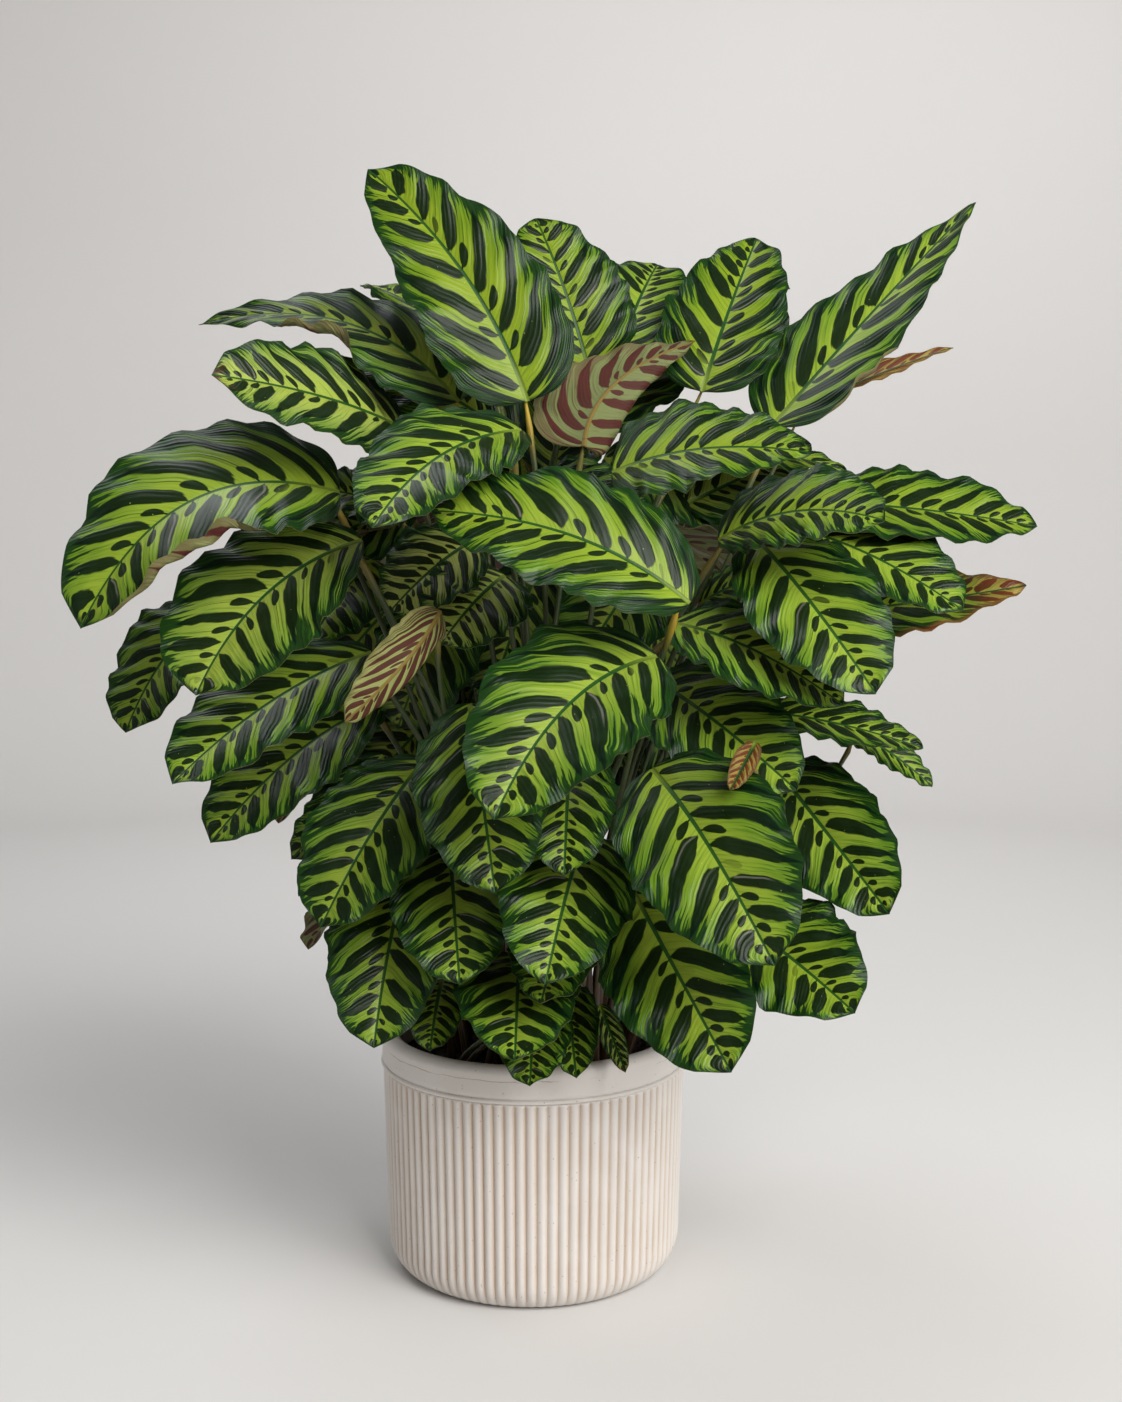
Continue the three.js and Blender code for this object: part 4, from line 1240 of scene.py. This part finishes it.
def underside_material(colours, group):
    """The underside: the same markings in maroon on a pale grey-green, with an ochre midrib."""
    material, tree, shader = new_material("leaf underside", Roughness=0.6, Specular_IOR_Level=0.15)
    along, away, from_midrib, seed, mask = leaf_masks(tree, group)
    dry, pale = dried(tree, along, away, seed), attribute(tree, "pale")
    ground = paint(tree, (
        colours.under_ground,
        (pale, colours.pale_ground),
        (ramp(mask["Grain"], 0.0, -0.25) * 0.3, colours.under_blotch),
        (dry, colours.dried),
    ))
    marked = paint(tree, (
        ground,
        (mask["Flame"] * (0.5 - pale * 0.4), colours.under_margin),
        (mask["Blotch"] * 0.95, colours.under_blotch),
        (mask["Midrib"], colours.under_midrib),
        (dry * 0.6, colours.dried),
    ))
    feed(tree, shader.inputs["Base Color"], marked)
    relief = mask["Vein"] + mask["Grain"] * 0.6 + mask["Midrib"]
    bump(tree, shader, relief, 0.4 * MM, 0.8)
    return material


def stalk_material(colours):
    """The stalk: a brown papery sheath at the soil, olive above, and orange below a ripe blade."""
    material, tree, shader = new_material("leaf stalk", Roughness=0.45)
    along, around = leaf_coordinates(tree)
    seed, ripe = attribute(tree, "seed"), attribute(tree, "ripe")
    fibre = noise(vector(along * 2.0, around * 14.0, seed * 5.3), 2.0, detail=3.0)
    where = vector(along, around * 0.1, seed * 2.9)
    mottle = noise(where, 7.0, detail=3.0)
    sheath = ramp(along + mottle * 0.5, 0.42, 0.2)
    swelling = ramp(along, 0.86, 0.97) * ripe
    colour = paint(tree, (
        colours.stalk,
        (ramp(fibre, -0.05, -0.3) * 0.5, colours.margin),
        (sheath, colours.sheath),
        (sheath * ramp(fibre, 0.0, 0.25) * 0.5, colours.dried),
        (swelling, colours.swelling),
    ))
    feed(tree, shader.inputs["Base Color"], colour)
    bump(tree, shader, fibre, 0.3 * MM, 0.6)
    return material


# ---------------------------------------------------------------- pot, soil and floor finishes


CRACKLE_HEIGHT = POT_HEIGHT - 9.5 * MM


def glaze_material(colours):
    """Cream glaze: whitish on the rib crests, beige in the grooves, faintly mottled and specked,
    with a thin broken crackle line under the lip."""
    material, tree, shader = new_material("pot glaze", Specular_IOR_Level=0.45)
    place, height = object_coordinates(tree)
    groove = attribute(tree, "groove")
    cloud = noise(place, 22.0, detail=4.0)
    fine = noise(place, 260.0, detail=3.0)
    distance, lot = specks(place, 330.0)
    dot = ramp(distance, 0.2, 0.1) * ramp(lot, 0.86, 0.9)
    wander = noise(place, 60.0, detail=4.0, rough=0.65) * 5 * MM
    line = ramp(abs(height + wander - CRACKLE_HEIGHT), 0.45 * MM, 0.1 * MM)
    broken = line * ramp(noise(place, 34.0, detail=3.0), -0.06, 0.08)
    colour = paint(tree, (
        colours.glaze,
        # The grooves are painted beige, darker than the crests.
        (ramp(groove, 0.05, 0.95) * 0.85, colours.groove),
        (ramp(cloud, -0.05, 0.3) * 0.4, colours.crest),
        (ramp(fine, 0.1, 0.35) * 0.25, colours.groove),
        (dot * 0.5, colours.crackle),
        (broken * 0.5, colours.crackle),
    ))
    feed(tree, shader.inputs["Base Color"], colour)
    feed(tree, shader.inputs["Roughness"], 0.4 + cloud * 0.25 + groove * 0.15)
    bump(tree, shader, cloud * 0.6 + fine * 0.5 - broken * 0.4, 0.25 * MM, 0.6)
    return material


def soil_material(colours):
    """Moist potting soil: near black, with paler dry crumbs."""
    material, tree, shader = new_material("soil crumbs", Roughness=0.95, Specular_IOR_Level=0.25)
    place, _ = object_coordinates(tree)
    cloud = noise(place, 60.0, detail=4.0)
    fine = noise(place, 700.0, detail=4.0, rough=0.7)
    colour = paint(tree, (
        colours.soil, (ramp(cloud + fine * 0.6, 0.05, 0.4), colours.dry_soil),
    ))
    feed(tree, shader.inputs["Base Color"], colour)
    bump(tree, shader, fine + cloud, 0.9 * MM)
    return material


def floor_material(colours):
    """A plain pale matt floor, with a very faint cloud in it."""
    material, tree, shader = new_material("stage floor", Roughness=0.8, Specular_IOR_Level=0.2)
    place, _ = object_coordinates(tree)
    cloud = noise(place, 0.7, detail=2.0)
    tone = paint(tree, (colours.floor, (ramp(cloud, -0.1, 0.5) * 0.25, colours.floor_cloud)))
    feed(tree, shader.inputs["Base Color"], tone)
    return material


# ---------------------------------------------------------------- settings


def linear(red, green, blue):
    """A colour given as 0 to 255 display values, as the linear values that shaders take."""
    display = np.array((red, green, blue)) / 255
    values = np.where(display <= 0.04045, display / 12.92, ((display + 0.055) / 1.055) ** 2.4)
    return (*values.tolist(), 1.0)


def colour(name, description, *display):
    """A colour that a user may change, from its usual display values."""
    return FloatVectorProperty(
        name=name, description=description, subtype="COLOR", size=4, min=0, max=1,
        default=linear(*display),
    )


def length(name, description, default, high):
    """A length in metres that a user may change, from 0 to high."""
    return FloatProperty(
        name=name, description=description, default=default, min=0, max=high,
        subtype="DISTANCE", unit="LENGTH", precision=4,
    )


class LeafSettings(bpy.types.PropertyGroup):
    """Sizes and colours of the leaves."""

    thickness: length("Blade thickness", "Thickness beside the midrib", 0.55 * MM, 2 * MM)
    ripple: length("Ripple", "How far the blade's edge waves up and down", 3.2 * MM, 8 * MM)
    stalk_radius: length("Stalk radius", "Radius of a large leaf's stalk", 2.2 * MM, 4 * MM)
    ground: colour("Ground", "Upper face between the markings", 110, 140, 34)
    bright_ground: colour("Bright ground", "Upper face of a young leaf", 108, 132, 4)
    pale_ground: colour("Pale ground", "Upper face of a cream leaf", 170, 174, 98)
    # Painted shade: the dark olive ground of leaves that stand in shade.
    shaded_ground: colour("Dull ground", "Upper face of an old leaf", 72, 86, 34)
    deep_ground: colour("Deep ground", "Upper face near the margin", 50, 94, 16)
    near_midrib: colour("Beside the midrib", "Upper face close to the midrib", 144, 160, 52)
    blotch: colour("Blotch", "Spindles and ovals of the upper face", 5, 22, 8)
    # Painted reflection: the paler grey-green laid in patches over the spindles and flames.
    painted_sheen: colour("Blotch sheen", "Waxy tone inside the spindles", 26, 48, 30)
    margin: colour("Margin", "Edge and wedges of the upper face", 14, 44, 13)
    # Painted highlight: the grey of the glints painted into some spindles.
    midrib: colour("Midrib", "Middle line of the upper face", 26, 66, 26)
    painted_glint: colour("Painted glint", "Grey scars in some spindles", 108, 106, 100)
    under_ground: colour("Underside", "Underside between the markings", 104, 112, 68)
    under_blotch: colour("Underside blotch", "Markings of the underside", 66, 22, 22)
    under_margin: colour("Underside margin", "Edge of the underside", 78, 44, 34)
    under_midrib: colour("Underside midrib", "Middle line of the underside", 116, 96, 46)
    stalk: colour("Stalk", "Stalk above its sheath", 48, 60, 20)
    swelling: colour("Swelling", "Stalk just below the blade", 166, 138, 38)
    sheath: colour("Sheath", "Papery sheath near the soil", 50, 30, 18)
    dried: colour("Dried", "Ground where a leaf has dried", 134, 118, 54)
    dried_blotch: colour("Dried blotch", "Markings where a leaf has dried", 98, 46, 25)
    dried_edge: colour("Dried edge", "Edge where a leaf has dried", 104, 72, 40)


class PotSettings(bpy.types.PropertyGroup):
    """Sizes and colours of the pot."""

    rib_depth: length("Rib depth", "How deep the grooves between the ribs are", 1.8 * MM, 3 * MM)
    glaze: colour("Glaze", "The pot's main colour", 209, 203, 197)
    crest: colour("Crest", "Glaze where it is thick", 222, 218, 214)
    # Beige painted into the grooves, darker than the crests.
    groove: colour("Groove", "Clay that shows in the grooves", 186, 165, 145)
    crackle: colour("Crackle", "Line and specks in the glaze", 122, 92, 66)


class SoilSettings(bpy.types.PropertyGroup):
    """Sizes and colours of the soil."""

    crumb_size: length("Crumb size", "Radius of a large crumb", 3 * MM, 6 * MM)
    soil: colour("Soil", "Moist soil", 26, 19, 14)
    dry_soil: colour("Dry soil", "Dry crumbs and bark", 78, 58, 42)


class StageSettings(bpy.types.PropertyGroup):
    """The stage round the plant."""

    floor: colour("Floor", "Floor and wall", 212, 210, 208)
    floor_cloud: colour("Floor cloud", "Faint tone in the floor", 205, 202, 199)
    radius: length("Stage radius", "Radius of the flat floor", 2.4, 6.0)
    key_power: FloatProperty(
        name="Key light", description="Power of the large soft light at the upper right",
        default=66, min=0, max=500, subtype="POWER",
    )
    sky: FloatProperty(
        name="Sky", description="Strength of the even light from all round",
        default=0.12, min=0, max=2,
    )


GROUPS = {
    "peacock_leaves": LeafSettings,
    "peacock_pot": PotSettings,
    "peacock_soil": SoilSettings,
    "peacock_stage": StageSettings,
}

# ---------------------------------------------------------------- operators

SEED_STEP = 0.618
LEAF_SEED = 100


class GrowLeaves(bpy.types.Operator):
    """Grow every leaf with its stalk, each as one piece in place of its CAD node"""

    bl_idname = "peacock.grow_leaves"
    bl_label = "Grow the leaves"

    def execute(self, context):
        settings = context.scene.peacock_leaves
        leaves = [*FRONT_LEAVES, *SIDE_LEAVES, *back_leaves(), *HEART_LEAVES]
        give_holes(leaves)
        group = feather_group()
        materials = (
            upper_material(settings, group),
            underside_material(settings, group),
            stalk_material(settings),
        )
        shells = {}
        for number, one in enumerate(leaves):
            one.seed = number * SEED_STEP
            random = np.random.default_rng(LEAF_SEED + number)
            parts = shells.setdefault(one.node, [])
            parts.extend((blade(one, settings, random), stalk(one, settings)))
        for node, parts in shells.items():
            add_piece(node.replace("leaf_", "foliage_"), parts, materials, (node,))
        return {"FINISHED"}


class ThrowPot(bpy.types.Operator):
    """Throw the ribbed pot in place of its CAD node"""

    bl_idname = "peacock.throw_pot"
    bl_label = "Throw the pot"

    def execute(self, context):
        settings = context.scene.peacock_pot
        material = glaze_material(settings)
        add_piece("ribbed_pot", [pot_shell(settings)], [material], ("pot",))
        return {"FINISHED"}


class FillSoil(bpy.types.Operator):
    """Fill the pot with soil and strew its crumbs"""

    bl_idname = "peacock.fill_soil"
    bl_label = "Fill in the soil"

    def execute(self, context):
        settings = context.scene.peacock_soil
        shells = [soil_shell(settings), *crumb_shells(settings)]
        add_piece("potting_soil", shells, [soil_material(settings)], ("soil",))
        return {"FINISHED"}


class SetStage(bpy.types.Operator):
    """Set the pale floor, the soft lights and the camera"""

    bl_idname = "peacock.set_stage"
    bl_label = "Set the stage"

    def execute(self, context):
        settings = context.scene.peacock_stage
        add_floor(settings)
        for name, (place, size, share, tint, aim) in LIGHTS.items():
            add_light(name, place, size, settings.key_power * share, tint, aim)
        light_world(context.scene, settings)
        add_camera(context.scene)
        context.scene.view_settings.view_transform = "Standard"
        return {"FINISHED"}


# ---------------------------------------------------------------- stage

SENSOR_WIDTH = 36
LENS = 48.13
CAMERA_PLACE = (19.8 * MM, -1077 * MM, 472.3 * MM)
CAMERA_PITCH = 3.59
PLANT_MIDDLE = (0, 0, 0.38)
WALL_AIM = (0.45, 3.3, 1.1)
WALL_CURVE = 0.9
WALL_HEIGHT = 2.6
FLOOR_COLUMNS = 96
FLOOR_CURVE_POINTS = 16
SKY_TINT = (0.92, 0.95, 1.0, 1.0)

# Each soft light's place, size, share of the key light's power, tint, and the point it looks at.
LIGHTS = {
    "key": ((1.1, -1.5, 1.7), 1.5, 1.0, (1.0, 0.985, 0.96), PLANT_MIDDLE),
    "fill": ((1.7, -1.2, 0.8), 1.4, 0.2, (0.95, 0.98, 1.0), PLANT_MIDDLE),
    "back": ((-0.9, 0.6, 2.4), 1.4, 0.3, (0.94, 0.97, 1.0), PLANT_MIDDLE),
    "wall": ((0.35, 1.4, 2.4), 1.6, 0.42, (1.0, 0.995, 0.99), WALL_AIM),
}


def add_floor(settings):
    """A flat round floor that curves up into a wall: a profile turned about the axis."""
    centre = (settings.radius, WALL_CURVE)
    curve = arc(centre, (WALL_CURVE, WALL_CURVE), -90, 0, FLOOR_CURVE_POINTS)
    top = (settings.radius + WALL_CURVE, WALL_HEIGHT)
    profile = np.concatenate((((CENTRE_HOLE, 0),), curve, (top,)))
    rings = revolve(profile[:, 0], profile[:, 1], FLOOR_COLUMNS)
    faces = np.concatenate((
        quad_grid(len(profile), FLOOR_COLUMNS, round_closed=True),
        quad_cap(np.arange(FLOOR_COLUMNS)),
    ))
    mesh = bpy.data.meshes.new("stage_floor")
    mesh.from_pydata(rings.reshape(-1, 3).tolist(), [], faces.tolist())
    mesh.polygons.foreach_set("use_smooth", np.ones(len(faces), bool))
    mesh.materials.append(floor_material(settings))
    floor = bpy.data.objects.new("stage_floor", mesh)
    bpy.context.scene.collection.objects.link(floor)


def add_light(name, place, size, power, tint, aim):
    """A square soft light at a place, turned to look at its aim."""
    data = bpy.data.lights.new(name, "AREA")
    data.size = size
    data.energy = power
    data.color = tint
    lamp = bpy.data.objects.new(name, data)
    lamp.location = place
    lamp.rotation_euler = (Vector(aim) - Vector(place)).to_track_quat("-Z", "Y").to_euler()
    bpy.context.scene.collection.objects.link(lamp)


def light_world(scene, settings):
    """An even, slightly blue light from all round."""
    world = bpy.data.worlds.new("studio")
    world.use_nodes = True
    background = world.node_tree.nodes["Background"]
    background.inputs["Color"].default_value = SKY_TINT
    background.inputs["Strength"].default_value = settings.sky
    scene.world = world


def add_camera(scene):
    """The camera of the front view, which looks down a little."""
    data = bpy.data.cameras.new("camera")
    data.sensor_fit = "HORIZONTAL"
    data.sensor_width = SENSOR_WIDTH
    data.lens = LENS
    camera = bpy.data.objects.new("camera", data)
    camera.location = CAMERA_PLACE
    camera.rotation_euler = (math.radians(90 - CAMERA_PITCH), 0, 0)
    scene.collection.objects.link(camera)
    scene.camera = camera


# ---------------------------------------------------------------- add-on

OPERATORS = (ThrowPot, FillSoil, GrowLeaves, SetStage)


class PeacockPanel(bpy.types.Panel):
    """Steps and settings of the peacock plant"""

    bl_idname = "VIEW3D_PT_peacock_plant"
    bl_label = "Peacock plant"
    bl_space_type = "VIEW_3D"
    bl_region_type = "UI"
    bl_category = "Peacock plant"

    def draw(self, context):
        for operator in OPERATORS:
            self.layout.operator(operator.bl_idname)
        for name, group in GROUPS.items():
            box = self.layout.box()
            box.label(text=group.__doc__)
            for field in group.__annotations__:
                box.prop(getattr(context.scene, name), field)


def register():
    """Make the settings, steps and panel known, and give the scene its settings."""
    for made in (*GROUPS.values(), *OPERATORS, PeacockPanel):
        bpy.utils.register_class(made)
    for name, group in GROUPS.items():
        setattr(bpy.types.Scene, name, PointerProperty(type=group))


def unregister():
    """Take away what register added, in the opposite order."""
    for name in GROUPS:
        delattr(bpy.types.Scene, name)
    for made in reversed((*GROUPS.values(), *OPERATORS, PeacockPanel)):
        bpy.utils.unregister_class(made)


def main():
    """Register, and run every step."""
    register()
    bpy.ops.peacock.throw_pot()
    bpy.ops.peacock.fill_soil()
    bpy.ops.peacock.grow_leaves()
    bpy.ops.peacock.set_stage()


if __name__ == "__main__":
    main()
